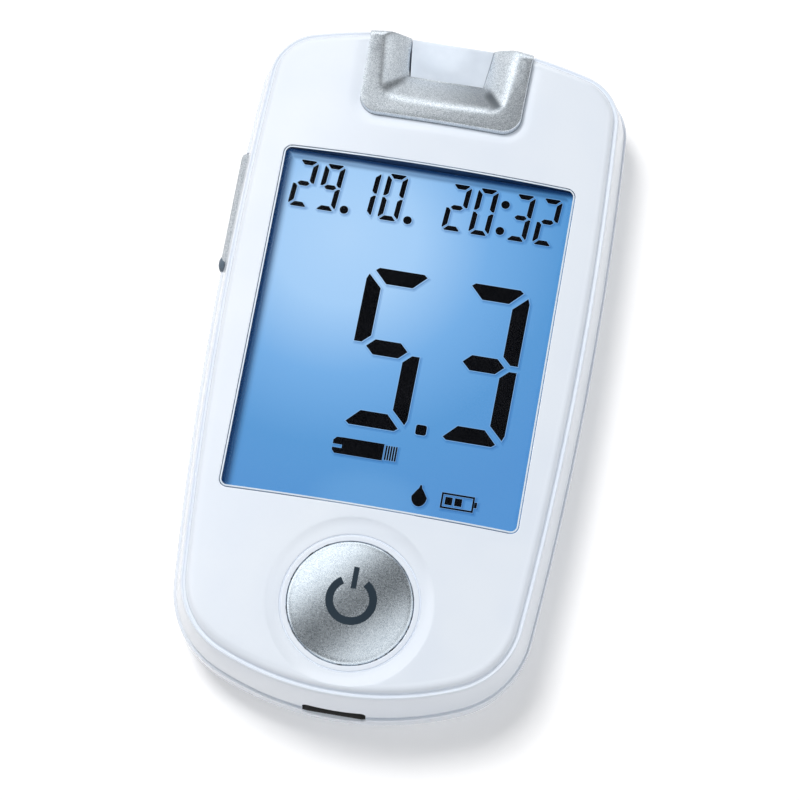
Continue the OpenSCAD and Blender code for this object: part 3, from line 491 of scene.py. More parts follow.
def softer(a, b, blend):
    """The lesser of two heights, with a rounded edge where they cross."""
    return 0.5 * (a + b - sqrt((a - b) ** 2 + blend * blend))


def from_button(x, y):
    return hypot(x, y - BUTTON[1])


DISH_Z, DISH_LIP, DISH_EDGE = 16.1, 9.1, 11.65


def dished(x, y, z):
    """A height of the face, taken down into the button's dish where that is lower."""
    r = from_button(x, y)
    if r > 14.5:
        return z
    if r <= DISH_LIP:
        dish = DISH_Z
    elif r < DISH_EDGE:
        t = asin((r - DISH_LIP) / (DISH_EDGE - DISH_LIP) * sin(radians(60)))
        dish = DISH_Z + 0.9 * (1 - cos(t)) / 0.5
    else:
        dish = FACE_TOP + 1.06 * (r - DISH_EDGE)
    return softer(z, dish, 0.1)


def beyond_window(x, y):
    return beyond_plate(x, y, WINDOW, SEAT_HALF, SEAT_CORNER)


def beyond_frame(x, y):
    return beyond_plate(x, y, WINDOW, FRAME_HALF, FRAME_CORNER)


def face_height(x, y):
    """The face with its dish, the groove round the button and the seats' rounded edges."""
    z = dished(x, y, crown(x))
    r = from_button(x, y)
    if r < 10:
        z -= 0.24 * exp(-((r - 9.32) / 0.1) ** 2) + rolled(r - HOLE, 0.2)
    z -= rolled(beyond_window(x, y), 0.16)
    near = beyond_collar(x, y)
    if -0.5 < near < 1.7:
        z -= 0.17 * (1 - (max(near, 0) / 1.7) ** 2) ** 2
    return z


def plan_mesh(loops, loose, keep):
    """Triangles through closed loops and loose points, with the loops' new numbers."""
    points, edges, starts = [], [], []
    for loop in loops:
        starts.append(len(points))
        gap = (Vector(loop[0][:2]) - Vector(loop[-1][:2])).length
        count = len(loop) if gap < 4 else len(loop) - 1
        edges += [(starts[-1] + i, starts[-1] + (i + 1) % len(loop)) for i in range(count)]
        points += [Vector(p[:2]) for p in loop]
    points += [Vector(p[:2]) for p in loose]
    spots, _, faces, origin, _, _ = delaunay_2d_cdt(points, edges, [], 0, 1e-5)
    number = {old: new for new, olds in enumerate(origin) for old in olds}
    kept = [f for f in faces if keep(*(sum((spots[i] for i in f), Vector((0, 0))) / 3))]
    return spots, kept, [[number[s + i] for i in range(len(loop))]
                         for s, loop in zip(starts, loops)]


def spread(step, low, high, free):
    """Loose points in staggered rows over a rectangle, where free(x, y) holds."""
    rows = int((high[1] - low[1]) / (step * 0.866)) + 1
    found = []
    for j in range(rows):
        y = low[1] + j * step * 0.866
        x = low[0] + (j % 2) * step / 2
        while x < high[0]:
            if free(x, y):
                found.append((x, y))
            x += step
    return found


def window_loop(half, corner, grow=0):
    """A rounded rectangle about the window's middle, with points to spare on every side."""
    return plate(WINDOW, (half[0] + grow, half[1] + grow), corner + grow, 0, 30, 8)


FLAT_INSET, HOLE, GUIDE, ROUND_STEPS = 3.25, 8.49, 10.15, 144
seat_loop = window_loop(SEAT_HALF, SEAT_CORNER)
frame_loop = window_loop(FRAME_HALF, FRAME_CORNER)
hole_loop = circle(BUTTON, HOLE, 0, ROUND_STEPS)
guide_loop = circle(BUTTON, GUIDE, 0, ROUND_STEPS)

loose = []
for offset in (0.0055, 0.0214, 0.047, 0.08, 0.119, 0.16, 0.3, 0.7):
    loose += window_loop(SEAT_HALF, SEAT_CORNER, offset)
for radius in (8.497, 8.517, 8.549, 8.59, 8.638, 8.69, 8.85, 9.0, 9.12, 9.18, 9.24, 9.3, 9.36,
               9.42, 9.5, 9.75, 10.0, 10.4, 10.7, 11.0, 11.25, 11.4, 11.5, 11.6, 11.7, 11.8,
               11.95, 12.2, 12.6, 13.2):
    loose += [p for p in circle(BUTTON, radius, 0, ROUND_STEPS)
              if beyond_window(*p[:2]) > 0.9 and inset_of(*p[:2]) > FLAT_INSET + 0.06]
for grow in (0.0, 0.25, 0.5, 0.8, 1.1, 1.4, 1.75, 2.3):
    loose += [p for p in collar_plan(grow) if inset_of(*p) > FLAT_INSET + 0.25]
loose += spread(1.1, (-24, -46), (24, 46), lambda x, y: (
    inset_of(x, y) > FLAT_INSET + 0.5 and beyond_window(x, y) > 1.0
    and from_button(x, y) > 13.8 and not -0.3 < beyond_collar(x, y) < 2.8
    and abs(beyond_frame(x, y)) > 0.35))
spots, faces, loops = plan_mesh(
    [outline(FLAT_INSET), seat_loop, frame_loop, hole_loop, guide_loop], loose,
    lambda x, y: inset_of(x, y) > FLAT_INSET - 0.001)
edge_at, seat_at, frame_at, hole_at, guide_at = loops

cover = Solid()
top_at = cover.loop([(x, y, face_height(x, y)) for x, y in spots])
under_at = cover.loop([(x, y, crown(x) - WALL) for x, y in spots])
for f in faces:
    x, y = sum((spots[i] for i in f), Vector((0, 0))) / 3
    r = from_button(x, y)
    if beyond_window(x, y) > 0 and r > HOLE - 0.02:
        cover.faces.append(tuple(top_at[i] for i in f))
    if beyond_frame(x, y) > 0 and r > GUIDE - 0.01:
        cover.faces.append(tuple(under_at[i] for i in f[::-1]))


EDGE_ROLL = 1.2


def crowned(inset, drop):
    return [(x, y, dished(x, y, crown(x) - drop)) for x, y in outline(inset)]


def walled(share):
    inset = 0.33 + 0.72 * share + 0.15 * share * share
    return [(x, y, PARTING + share * (crown(x) - 2.1 - PARTING)) for x, y in outline(inset)]


edge_rings = [crowned(FLAT_INSET - EDGE_ROLL * sin(t), EDGE_ROLL * (1 - cos(t)))
              for t in (radians(9 * i) for i in range(1, 11))]
edge_rings += [crowned(i, d) for i, d in (
    (2.03, 1.28), (1.98, 1.34), (1.9, 1.365), (1.8, 1.365), (1.72, 1.33), (1.67, 1.26),
    (1.62, 1.2), (1.55, 1.17), (1.47, 1.19), (1.4, 1.26), (1.35, 1.4), (1.3, 1.62), (1.25, 1.86))]
edge_rings += [walled(s) for s in (1, 0.88, 0.76, 0.64, 0.52, 0.4, 0.28, 0.18, 0.1)]
edge_rings += [level(0.34, PARTING + 0.35), level(0.4, PARTING + 0.12), level(0.52, PARTING + 0.02)]
lining_rings = [level(1.05, PARTING + 0.02), level(1.05, PARTING + 1.4), level(2, PARTING + 1.4)]
lining_rings += [[(x, y, crown(x) - 3.7) for x, y in outline(2.8)]]
cover.stack([[top_at[i] for i in edge_at]] + [cover.loop(r) for r in edge_rings + lining_rings]
            + [[under_at[i] for i in edge_at]])
inner_frame = window_loop(LEDGE_HALF, LEDGE_CORNER)


def at_z(loop, z):
    return cover.loop([(p[0], p[1], z) for p in loop])


cover.stack([[top_at[i] for i in seat_at], at_z(seat_loop, LEDGE_Z), at_z(inner_frame, LEDGE_Z),
             at_z(inner_frame, RIM_FOOT_Z), at_z(frame_loop, RIM_FOOT_Z),
             [under_at[i] for i in frame_at]])
cover.stack([[top_at[i] for i in hole_at], at_z(hole_loop, 14.2), at_z(guide_loop, 14.2),
             [under_at[i] for i in guide_at]])
upper_case = cover.object("upper_case")
carve(upper_case, prism([(x, y, 7) for x, y in collar_plan(0.05)], (0, 0, 14)), side_slot(0.3),
      cable_slot())
# The opening's walls under the lens are dark navy: painted shade.
navy = moulded("opening_wall_painted_shade", (10, 40, 74), (16, 50, 88), 0.5)
finish_piece(upper_case, "housing", "shell_white", case_white, navy, slot_wall_painted_shade,
             stands_for=["upper_shell"])


def mark(piece, index, test):
    """Gives another of a piece's materials to the faces that pass a test."""
    for face in piece.data.polygons:
        if test(face, *(1000 * c for c in face.center)):
            face.material_index = index


def inside_slot(face, x, y, z):
    """Whether a face is a wall of the cable's slot, and not the case's own end wall round it."""
    return (abs(x) < 4.34 and abs(z - PARTING - 0.5) < 1.24 and 0.45 < y + END_Y < 6
            and abs(face.normal.y) < 0.7)


# Painted shade on the walls of the display's opening.
mark(upper_case, 1, lambda face, x, y, z: abs(beyond_window(x, y)) < 0.012 and z < 16.8)
# The slot's walls in both halves get the painted shade.
mark(upper_case, 2, inside_slot)
mark(lower_case, 1, inside_slot)

# ---- Display window ----
# A cast sheet of clear acrylic with a finely polished edge, crowned like the face around it.
# It drops into the opening from above and a frame of adhesive tape holds it on the ledge.

LENS_FOOT, LENS_CORNER = 14.32, 1.1


def shell_of(spots, faces, top, bottom):
    """A solid between two heights over a flat set of triangles."""
    made = Solid()
    used = sorted({i for f in faces for i in f})
    place = {old: new for new, old in enumerate(used)}
    high = made.loop([(spots[i].x, spots[i].y, top(*spots[i])) for i in used])
    low = made.loop([(spots[i].x, spots[i].y, bottom(*spots[i])) for i in used])
    sides = {(a, b) for f in faces for a, b in zip(f, [*f[1:], f[0]])}
    for f in faces:
        made.faces.append(tuple(high[place[i]] for i in f))
        made.faces.append(tuple(low[place[i]] for i in reversed(f)))
    for a, b in sides:
        if (b, a) not in sides:
            made.faces.append((high[place[a]], low[place[a]], low[place[b]], high[place[b]]))
    return made


def beyond_lens(x, y):
    return beyond_plate(x, y, WINDOW, WINDOW_HALF, LENS_CORNER)


def lens_top(x, y):
    return crown(x) - 0.01 - rolled(-beyond_lens(x, y), 0.14)


lens_loops = [window_loop(WINDOW_HALF, LENS_CORNER, -inset)
              for inset in (0, 0.0048, 0.0188, 0.041, 0.07, 0.1038, 0.14, 0.24)]
lens_spots, lens_faces, _ = plan_mesh(
    lens_loops, spread(2.5, (-19.4, -21), (19.4, 27.2), lambda x, y: True),
    lambda x, y: beyond_lens(x, y) < 0)
lens = shell_of(lens_spots, lens_faces, lens_top, lambda x, y: LENS_FOOT).object("display_lens")


def clear_finish(name):
    """Clear acrylic: light passes straight through, with a faint polished gleam."""
    made = Finish(name, base_color=(1, 1, 1, 1), roughness=0.06, metallic=1)
    tree = made.tree
    gleam = made.at.noise(0.05, 1).fade(0.2, 0.8)
    made.link(normal=made.at.noise(0.4, 1).bump(0.01, 0.02))
    through = Wire(tree).node("ShaderNodeBsdfTransparent")
    share = 0.003 + 0.002 * gleam
    mixed = Wire(tree).node("ShaderNodeMixShader", {}, {0: share, 1: through,
                                                        2: Wire(tree, made.shader.outputs[0])})
    tree.links.new(mixed.socket, tree.nodes["Material Output"].inputs["Surface"])
    return made.material


def rim_highlight_finish(name):
    """The lens's polished edge, coloured as an opaque pale blue line: a painted highlight."""
    made = Finish(name, roughness=0.15, coat_weight=0.4)
    return made.link(base_color=made.drift(0.3).mix(sheer(214, 226, 238), sheer(226, 236, 245)))


finish_piece(lens, "housing", "lens_clear", clear_finish("clear_acrylic"),
             rim_highlight_finish("lens_edge_painted_highlight"), stands_for=["display_window"], sharp=50)
# The lens's rolled edge gets the painted highlight.
mark(lens, 1, lambda face, x, y, z: z > crown(x) - 0.4 and -beyond_lens(x, y) < 0.235)

# ---- Display picture ----
# The liquid-crystal panel's picture: a lit blue field with dark segments for the date, the
# clock and the reading. Each segment is a thin raised film with a painted pale halo and a
# painted soft shadow.

SHEET_Z = 13.225


def display_glow(made):
    """The field's colour: palest at the upper left, deeper towards the right and the foot."""
    away = ((made.x + 10) ** 2.0 + (made.y - 17) ** 2.0) ** 0.5 / 50
    glow = away.node("ShaderNodeValToRGB", {"stops": [
        (0, sheer(172, 209, 245)), (0.2, sheer(162, 203, 243)), (0.4, sheer(112, 170, 225)),
        (0.6, sheer(84, 149, 208)), (0.8, sheer(80, 143, 205))]}, {"Fac": away})
    foot = made.x * made.x / 90 + (made.y + 20) ** 2.0 / 30
    return ((1 - foot.fade(0, 1)) * 0.45).mix(glow, sheer(105, 164, 217))


def display_shaded(made):
    """The field with the soft shade that the opening's left and upper walls throw on it."""
    left = (1 - made.x.fade(-19.95, -18.3)) ** 1.3
    top = made.y.fade(26.5, 27.7) ** 1.3
    return left.most(top).mix(display_glow(made), sheer(12, 46, 88))


LIT = {"base_color": (0.01, 0.02, 0.04, 1), "specular_ior_level": 0.1, "emission_strength": 1}


def display_finish(name):
    """The lit field, with a trace of grain from the panel's polariser."""
    made = Finish(name, **LIT)
    grain = made.at.noise(5, 1).fade(0.2, 0.8) * 0.015
    return made.link(emission_color=grain.mix(display_shaded(made), (1, 1, 1)),
                     roughness=0.5 + 0.1 * made.at.noise(1.5, 2))


def film(name, shapes, low, high, material, slot="display_glass"):
    """A thin raised film made of flat outlines, a piece of the display's picture."""
    made = Solid()
    for shape in shapes:
        made.rings([[(x, y, z) for x, y in shape] for z in (low, high)])
    return finish_piece(made.object(name), "housing", slot, material, sharp=20)


view = [p[:2] for p in plate(WINDOW, (19.85, 24.3), 0.8, 0, 4, 6)]
film("display_field", [view], 13.19, SHEET_Z, display_finish("lit_display_field"))


def grown(shape, amount):
    """A convex outline with every side moved out."""
    n = len(shape)
    area = sum(shape[i][0] * shape[(i + 1) % n][1] - shape[(i + 1) % n][0] * shape[i][1]
               for i in range(n))
    sign = 1 if area > 0 else -1
    moved = []
    for i in range(n):
        a, b, c = (Vector(shape[(i + k - 1) % n]) for k in range(3))
        n1 = Vector(((b - a).y, -(b - a).x)).normalized() * sign
        n2 = Vector(((c - b).y, -(c - b).x)).normalized() * sign
        bis = (n1 + n2).normalized()
        moved.append(tuple(b + bis * amount / max(0.35, bis.dot(n1))))
    return moved


SEGMENTS = {"0": "abcdef", "1": "bc", "2": "abged", "3": "abgcd", "5": "afgcd", "9": "abfgcd"}


def digit(sign, place, half, bar, slant):
    """The segments of one figure, each with mitred ends."""
    w, h, k = half[0], half[1], bar / 2.2
    lean = 4.65 * k - w
    top = [(-3.6 * k + lean, h - 0.4 * k), (-3.1 * k + lean, h), (3.1 * k - lean, h),
           (3.6 * k - lean, h - 0.4 * k), (w - bar - 0.6 * k, h - bar),
           (bar + 0.6 * k - w, h - bar)]
    right = [(w - 0.3 * k, h - 1.05 * k), (w, h - 1.8 * k), (w, 0.45 * k),
             (w - bar + 1.15 * k, 0.45 * k), (w - bar, 1.55 * k), (w - bar, h - 2.9 * k)]
    tip, inner = w - bar + 0.43 * k, w - bar - 0.7 * k
    shapes = {name: [(x * across, y * up) for x, y in line]
              for name, line, across, up in (("a", top, 1, 1), ("b", right, 1, 1),
                                             ("c", right, 1, -1), ("d", top, 1, -1),
                                             ("e", right, -1, -1), ("f", right, -1, 1))}
    shapes["g"] = [(-tip, 0), (-inner, 1.1 * k), (inner, 1.1 * k), (tip, 0), (inner, -1.1 * k),
                   (-inner, -1.1 * k)]
    return [[(place[0] + x + slant * y, place[1] + y) for x, y in shapes[s]]
            for s in SEGMENTS[sign]]


figures = []
for sign, right in (("2", -15.65), ("9", -11.9), ("1", -6.85), ("0", -3.1), ("2", 5.85),
                    ("0", 9.6), ("3", 14.75), ("2", 18.5)):
    figures += digit(sign, (right - 1.4, 23.5), (1.43, 3.45), 0.7, 0.075)
figures += [[p[:2] for p in circle(place, 0.6, 0, 20)]
            for place in ((-10.85, 20.6), (-1.95, 20.55), (11.0, 25.05), (10.85, 21.15))]
reading = []
for sign, middle in (("5", -1.52), ("3", 11.83)):
    reading += digit(sign, (middle, 1.75), (4.65, 11.35), 2.2, 0.015)
reading.append([p[:2] for p in plate((5.05, -8.83), (0.74, 0.72), 0.3, 0, 2, 4)])


def bars_of(*sizes):
    """Upright rectangles, each from its left, right, top and foot."""
    return [[(left, top), (right, top), (right, foot), (left, foot)]
            for left, right, top, foot in sizes]


strip_sign = [[(-6.4, -12.1), (-6.0, -11.65), (-5.1, -11.6), (-5.1, -12.66), (-6.4, -12.66)],
              [(-6.4, -13.14), (-5.1, -13.14), (-5.1, -13.95), (-6.0, -13.95), (-6.4, -13.5)]]
strip_sign += bars_of((-5.12, 0.55, -11.6, -13.95), *(
    (x, x + 0.24, -11.75, -13.8) for x in (0.78, 1.12, 1.46, 1.8, 2.14)))
drop = [(6.4 + 1.05 * sin(t) * (1 - 0.55 * max(0, cos(t)) ** 0.8),
         -18.1 + 1.35 * cos(t) + (0.35 if cos(t) > 0.97 else 0))
        for t in (2 * pi * i / 28 for i in range(28))]
battery_sign = bars_of(
    (9.6, 13.6, -16.9, -17.15), (9.6, 13.6, -18.85, -19.1), (9.35, 9.6, -16.9, -19.1),
    (13.6, 13.85, -16.9, -19.1), (13.87, 14.25, -17.6, -18.4), (9.9, 10.9, -17.45, -18.55),
    (11.2, 12.2, -17.45, -18.55))
signs = strip_sign + [drop] + battery_sign


def ink(name):
    """The dark of a segment that is switched on, a little uneven as real segments are."""
    made = Finish(name, roughness=0.5, specular_ior_level=0.05)
    return made.link(base_color=made.drift(0.25).mix(sheer(2, 3, 6), sheer(8, 9, 13)))


def halo(name, light, share):
    """Painted light round a segment: the display's colour, paler for the halo, deeper for its
    painted shadow.
    """
    made = Finish(name, roughness=0.6, **LIT)
    drift = 0.04 * made.at.noise(0.4, 2)
    return made.link(emission_color=(share + drift).mix(display_glow(made), light))


# Painted light round each segment: a pale halo and two shadows, drawn as lit films.
segment_ink = ink("segment_ink")
painted_pale_halo = halo("segment_painted_halo", sheer(200, 222, 244), 0.16)
soft_shadow = halo("segment_soft_shadow", sheer(36, 92, 158), 0.22)
deep_shadow = halo("segment_deep_shadow", sheer(30, 82, 146), 0.5)
for name, shapes, edge in (("reading", reading, 0.1), ("date_and_clock", figures, 0.06),
                           ("display_signs", signs, 0.05)):
    for suffix, grow, move, z, material in (("_soft_shadow", 0.24, 0.2, 13.232, soft_shadow),
                                            ("_shadow", 0.04, 0.18, 13.24, deep_shadow),
                                            ("_halo", edge, 0, 13.248, painted_pale_halo),
                                            ("", 0, 0, 13.256, segment_ink)):
        film(name + suffix, [[(x + move, y - move) for x, y in grown(shape, grow)]
                             for shape in shapes], z, z + 0.006, material)

# ---- Window tape and display stack ----
# The die-cut adhesive frame under the lens, the glass panel, its light guide, lamps, frame and
# rubber connector, stacked on the board. The tape has a painted glow in the lit field's colour,
# with its painted shade.


def dress(node, material, sharp=30):
    """Gives a carried-over solid its material, smooth between its edges."""
    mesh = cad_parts[node].data
    mesh.materials.clear()
    mesh.materials.append(material)
    mesh.shade_smooth()
    mesh.set_sharp_from_angle(angle=radians(sharp))


# A painted glow: the tape shines with the lit field's colour and its painted shade.
def painted_glow_tape_finish(name):
    made = Finish(name, **LIT)
    return made.link(emission_color=display_shaded(made),
                     roughness=0.6 + 0.1 * made.at.noise(0.8, 2))


def glassy(name, tint, roughness, **constants):
    made = Finish(name, **constants)
    deep = tuple(0.85 * c for c in tint)
    return made.link(base_color=made.drift(0.2).mix(tint, deep),
                     roughness=roughness + 0.05 * made.at.noise(0.9, 2))


tape = painted_glow_tape_finish("tape_frame_painted_glow")
dress("window_tape", tape)
# The ledge's walls in the opening get the same painted glow.
upper_case.data.materials.append(tape)
mark(upper_case, 3, lambda face, x, y, z: (
    z < 14.2 and abs(beyond_plate(x, y, WINDOW, LEDGE_HALF, LEDGE_CORNER)) < 0.03))
dress("lcd_panel", glassy("panel_glass", sheer(70, 110, 140), 0.1, coat_weight=0.6))
dress("backlight_plate", glassy("light_guide_acrylic", sheer(205, 225, 240), 0.15,
                                transmission_weight=0.3))
dress("backlight_leds", moulded("led_body_white", (238, 236, 222), (228, 224, 205), 0.45))
dress("lcd_frame", moulded("frame_white", (232, 234, 232), (222, 225, 224), 0.5))
dress("zebra_strip", moulded("zebra_rubber", (52, 56, 60), (40, 43, 46), 0.75, 0.1))

# ---- Port collar ----
# A moulded trim painted with silver flake lacquer, pressed into the face round the test strip's
# port. It stands proud of the face and slopes down on three sides to the light block.

BLOCK_FOOT, BLOCK_LENGTH, BLOCK_TOP = END_Y - 7.4, 7.1, 14.0


def paint(name, light, dark, roughness, shade=None, **constants):
    """Silver lacquer: fine metal flakes that each catch the light a little differently."""
    made = Finish(name, **constants)
    light, dark = sheer(*light), sheer(*dark)
    flakes = made.at.node("ShaderNodeTexVoronoi", {"feature": "F1"},
                          {"Vector": made.at, "Scale": 13.0}, out=1)
    tone = flakes.node("ShaderNodeSeparateColor", {}, {0: flakes})
    glint = tone * 0.8 + 0.2 * made.at.noise(0.3, 2)
    colour = glint.mix(dark, light)
    # A given shade darkens the colour towards the dark tone: painted shade.
    if shade:
        colour = shade(made).mix(colour, tuple(0.28 * c for c in dark))
    return made.link(base_color=colour, roughness=roughness + 0.08 * (tone - 0.5),
                     normal=(tone + made.at.noise(4, 2)).bump(0.12, 0.02))


def corner_shade(made):
    """Painted shade on the slope by the foot, and in its two corners from the block to the rim."""
    y = made.y - BLOCK_FOOT
    shade = (0.1 + 0.6 * (made.x + 4).fade(0, 12)) * y.fade(-4.8, -3.6)
    for side, near, far, share in ((1, 2.4, 0.9, 0.95), (-1, 1.3, 0.8, 0.36)):
        x = made.x * side - 5.2
        along, off = x * 0.57 - y * 0.82, x * 0.82 + y * 0.57
        shade = shade * (1 - off.fade(-0.15, 0.35))
        band = off.fade(-near, -0.1) * (1 - off.fade(0.1, far))
        shade = shade.most(band * along.fade(-0.8, 2.2) * (1 - along.fade(4.4, 5.6)) * share)
    return shade * (1 - y.fade(3, 6))


silver = paint("silver_flake_paint_with_painted_shade", (240, 246, 251), (146, 158, 169), 0.33, corner_shade,
               metallic=0.85, coat_weight=0.1, coat_roughness=0.15)


def scoop_line(s):
    """Half width, foot and corner of one level line of the collar's slope."""
    return 5.15 + 4.1 * s, BLOCK_FOOT - 5.2 * s, 0.4 + 1.8 * s


def beyond_scoop(x, y, s):
    """Distance outside that line, which widens towards the case's end."""
    half, foot, corner = scoop_line(s)
    far = (y - BLOCK_FOOT) / BLOCK_LENGTH
    return beyond_plate(x, y, (0, foot + 40), (half + 0.8 * far - 0.25 * far * s, 40), corner)


def scoop_share(x, y):
    """How far up the collar's slope a point is: 0 at the block, 1 at the rim."""
    y = min(y, END_Y + 0.5)
    low, high = 0.0, 1.3
    for _ in range(18):
        s = (low + high) / 2
        if beyond_scoop(x, y, s) > 0:
            low = s
        else:
            high = s
    return high


ROLL_START, ROLL_END, COLLAR_WALL, COLLAR_END = 2.9, 1.8, 1.5, 1.3


def end_profile(x, inset):
    """Height of the collar's top end, which rolls over and falls to the parting line."""
    top = crown(x) + 1
    if inset >= ROLL_START:
        return top
    if inset >= ROLL_END:
        return top - 1.2 + sqrt(1.44 - (ROLL_START - inset) ** 2)
    if inset >= COLLAR_WALL:
        return top - 0.72 - (ROLL_END - inset) * 9
    return 8.3 + (top - 3.42 - 8.3) * max(inset - COLLAR_END, 0) / 0.2


def collar_top(x, y):
    z = crown(x) + 0.99 - rolled(max(-beyond_collar(x, y), 0), 0.12)
    inset = inset_of(x, y)
    if inset < 3.1:
        z = softer(z, end_profile(x, inset), 0.03)
    s = scoop_share(x, y)
    round_ = 0.3 + 0.3 * min(max((y - BLOCK_FOOT + 3) / 5, 0), 1)
    return z if s > 1.25 else softer(z, BLOCK_TOP + 4.1 * s ** 0.85, round_)


def block_plan(grow):
    half, far = 10.3 / 2 + grow, 10.3 / 2 + 0.8 + grow
    return [(-half, BLOCK_FOOT - grow), (half, BLOCK_FOOT - grow), (far + 0.1, END_Y + 1),
            (-far - 0.1, END_Y + 1)]


def scoop_ring(s):
    return horns(*scoop_line(s), END_Y + 0.5, 0.3, (20, 10, 10),
                 lambda x, y: beyond_scoop(x, y, s))


def block_half(y, half=5.15):
    """Half the block's width, which grows towards the case's end."""
    return half + 0.8 * (y - BLOCK_FOOT) / BLOCK_LENGTH


def in_collar(x, y):
    return (beyond_collar(x, y) < -0.001 and inset_of(x, y) > COLLAR_END + 0.021
            and not (y > BLOCK_FOOT - 0.05 and abs(x) < block_half(y, 5.2)))


rims = [collar_plan(grow) for grow in (0, -0.004, -0.016, -0.035, -0.06, -0.089, -0.12)]
ends = [[p for p in outline(inset) if p[1] > 30 and abs(p[0]) < 16]
        for inset in (COLLAR_END, 1.36, 1.43, COLLAR_WALL, 1.6, 1.7, ROLL_END, 1.89, 2.01, 2.17,
                      2.4, 2.65, ROLL_START, 3.15)]
slopes = [scoop_ring(s) for s in (0.06, 0.14, 0.24, 0.36, 0.48, 0.6, 0.72, 0.82, 0.89, 0.94, 0.97,
                                  1.0, 1.03, 1.07, 1.12, 1.18)]
COLLAR_BOTTOM = 8.05
loose = [p for p in spread(0.9, (-12, 33), (12, 48.5), in_collar)
         if not 0.0 < scoop_share(*p) < 1.15 and beyond_collar(*p) < -0.6 and inset_of(*p) > 3.6]
collar_spots, collar_faces, _ = plan_mesh([*rims, *ends, *slopes, block_plan(0.05)], loose,
                                          in_collar)
collar = shell_of(collar_spots, collar_faces, collar_top,
                  lambda x, y: COLLAR_BOTTOM).object("strip_port_collar")
finish_piece(collar, "housing", "silver_paint", silver, stands_for=["port_collar"], sharp=55)

# ---- Port light block ----
# A block of milky acrylic in the collar that a lamp on the board lights, so that a user finds
# the port in the dark. The slot for the test strip goes through it.


def block_top(x, y):
    """A flat top with rounded edges, which falls off at the case's end."""
    side = block_half(y) - abs(x)
    z = BLOCK_TOP - rolled(max(side, 0), 0.1) - rolled(max(y - BLOCK_FOOT, 0), 0.1)
    fall = BLOCK_TOP - (y - 46.9) / 1.15 * 6.15
    return max(COLLAR_BOTTOM + 0.01, softer(z, fall, 0.35))


EDGE_STEPS = (0, 0.015, 0.04, 0.07, 0.1)
block = Solid()
bars = []
for step in (*EDGE_STEPS, 1.3, 2.6, 3.9, 4.8, 5.2, 5.4, 5.5, 5.6, 5.7, 5.8, 5.95, 6.15, 6.35, 6.49):
    y = BLOCK_FOOT + step
    half = block_half(y)
    across = [-half + d for d in EDGE_STEPS] + [half * k / 6 for k in range(-4, 5)]
    across += [half - d for d in EDGE_STEPS[::-1]]
    bars.append(block.loop([(half, y, COLLAR_BOTTOM), (-half, y, COLLAR_BOTTOM)]
                           + [(x, y, block_top(x, y)) for x in across]))
block.stack(bars)
block.cap(bars[0])
block.cap(bars[-1])
light_block = block.object("strip_light_block")
mouth = Solid()
mouth.rings([[(x, y, z + 10.1) for x, z, _ in plate((0, 0), (3.2 + g, 0.45 + g), 0.2 + g, 0)]
             for y, g in ((END_Y + 0.4, 0.55), (END_Y - 0.75, 0), (BLOCK_FOOT - 1, 0))])
carve(light_block, mouth)


def milky(name):
    """Milky acrylic with light from behind, brightest left of its middle."""
    made = Finish(name, roughness=0.25, subsurface_weight=0.25, coat_weight=0.3,
                  emission_strength=0.25, subsurface_radius=(0.002, 0.002, 0.002),
                  subsurface_scale=0.5)
    core = 1 - ((made.x + 1.2) ** 2.0 / 16 + (made.y - 45.5) ** 2.0 / 9).fade(0, 1.3)
    return made.link(base_color=made.drift(0.25, 3).mix(sheer(214, 222, 232), sheer(204, 213, 224)),
                     emission_color=core.mix((0.12, 0.13, 0.15), (0.55, 0.6, 0.66)))


finish_piece(light_block, "housing", "milky_block", milky("milky_acrylic"),
             stands_for=["port_light_block"], sharp=40)

# ---- Power button ----
# A domed round cap with the same silver lacquer, which slides in the guide under the dish. A
# flange with two ears under the face keeps it in, and its sign is pad-printed on the dome.

BUTTON_R, RISE, DOME_TOP, DOME_EDGE, BUTTON_ROLL = 8.3, 1.1, 17.35, 8.02, 0.42
DOME = (BUTTON_R ** 2 + RISE ** 2) / (2 * RISE)
FLANGE_FOOT, FLANGE_TOP = 13.0, 13.9


def dome(r):
    return DOME_TOP - DOME + sqrt(DOME * DOME - r * r)


cap = Solid()
profile = [(r, dome(r)) for r in (0.4, 1.2, 2, 3, 4, 5, 6, 6.8, 7.5, DOME_EDGE)]
profile += [(DOME_EDGE + BUTTON_ROLL * sin(t), dome(DOME_EDGE) - BUTTON_ROLL * (1 - cos(t)))
            for t in (radians(a) for a in (15, 30, 45, 60, 75, 90))]
profile += [(8.44, FLANGE_TOP), (9.0, FLANGE_TOP), (9.0, FLANGE_FOOT), (7.1, FLANGE_FOOT),
            (7.1, 14.75), (2.0, 14.75), (2.0, 12.6), (0.4, 12.6)]
cap.rings([circle(BUTTON, r, z, ROUND_STEPS) for r, z in profile])
button = cap.object("domed_button")
for side in (-1, 1):
    ear = Solid()
    ear.rings([circle((side * 10.2, BUTTON[1]), r, z, 32) for r, z in
               ((0.7, FLANGE_FOOT), (1.5, FLANGE_FOOT), (1.5, FLANGE_TOP), (0.7, FLANGE_TOP))],
              closed=True)
    add(button, ear)
finish_piece(button, "button", "silver_paint",
             paint("silver_button_paint", (228, 237, 244), (156, 168, 179), 0.27,
                   metallic=0.96, coat_weight=0.1, coat_roughness=0.15),
             stands_for=["power_button"], sharp=40)


SIGN = (BUTTON[0] + 0.17, BUTTON[1] + 0.2)
RING_INNER, RING_OUTER, RING_GAP = 2.39, 3.43, 33


def arc_band(inner, outer, start, end, steps):
    """A curved band as its outline."""
    turns = [radians(start + (end - start) * i / steps) for i in range(steps + 1)]
    return [(SIGN[0] + r * sin(t), SIGN[1] + r * cos(t))
            for r, order in ((outer, 1), (inner, -1)) for t in turns[::order]]


def in_arc(x, y):
    turn = degrees(atan2(x - SIGN[0], y - SIGN[1]))
    return (RING_INNER < hypot(x - SIGN[0], y - SIGN[1]) < RING_OUTER
            and abs(turn) > RING_GAP)


def on_dome(lift):
    return lambda x, y: dome(from_button(x, y)) + lift


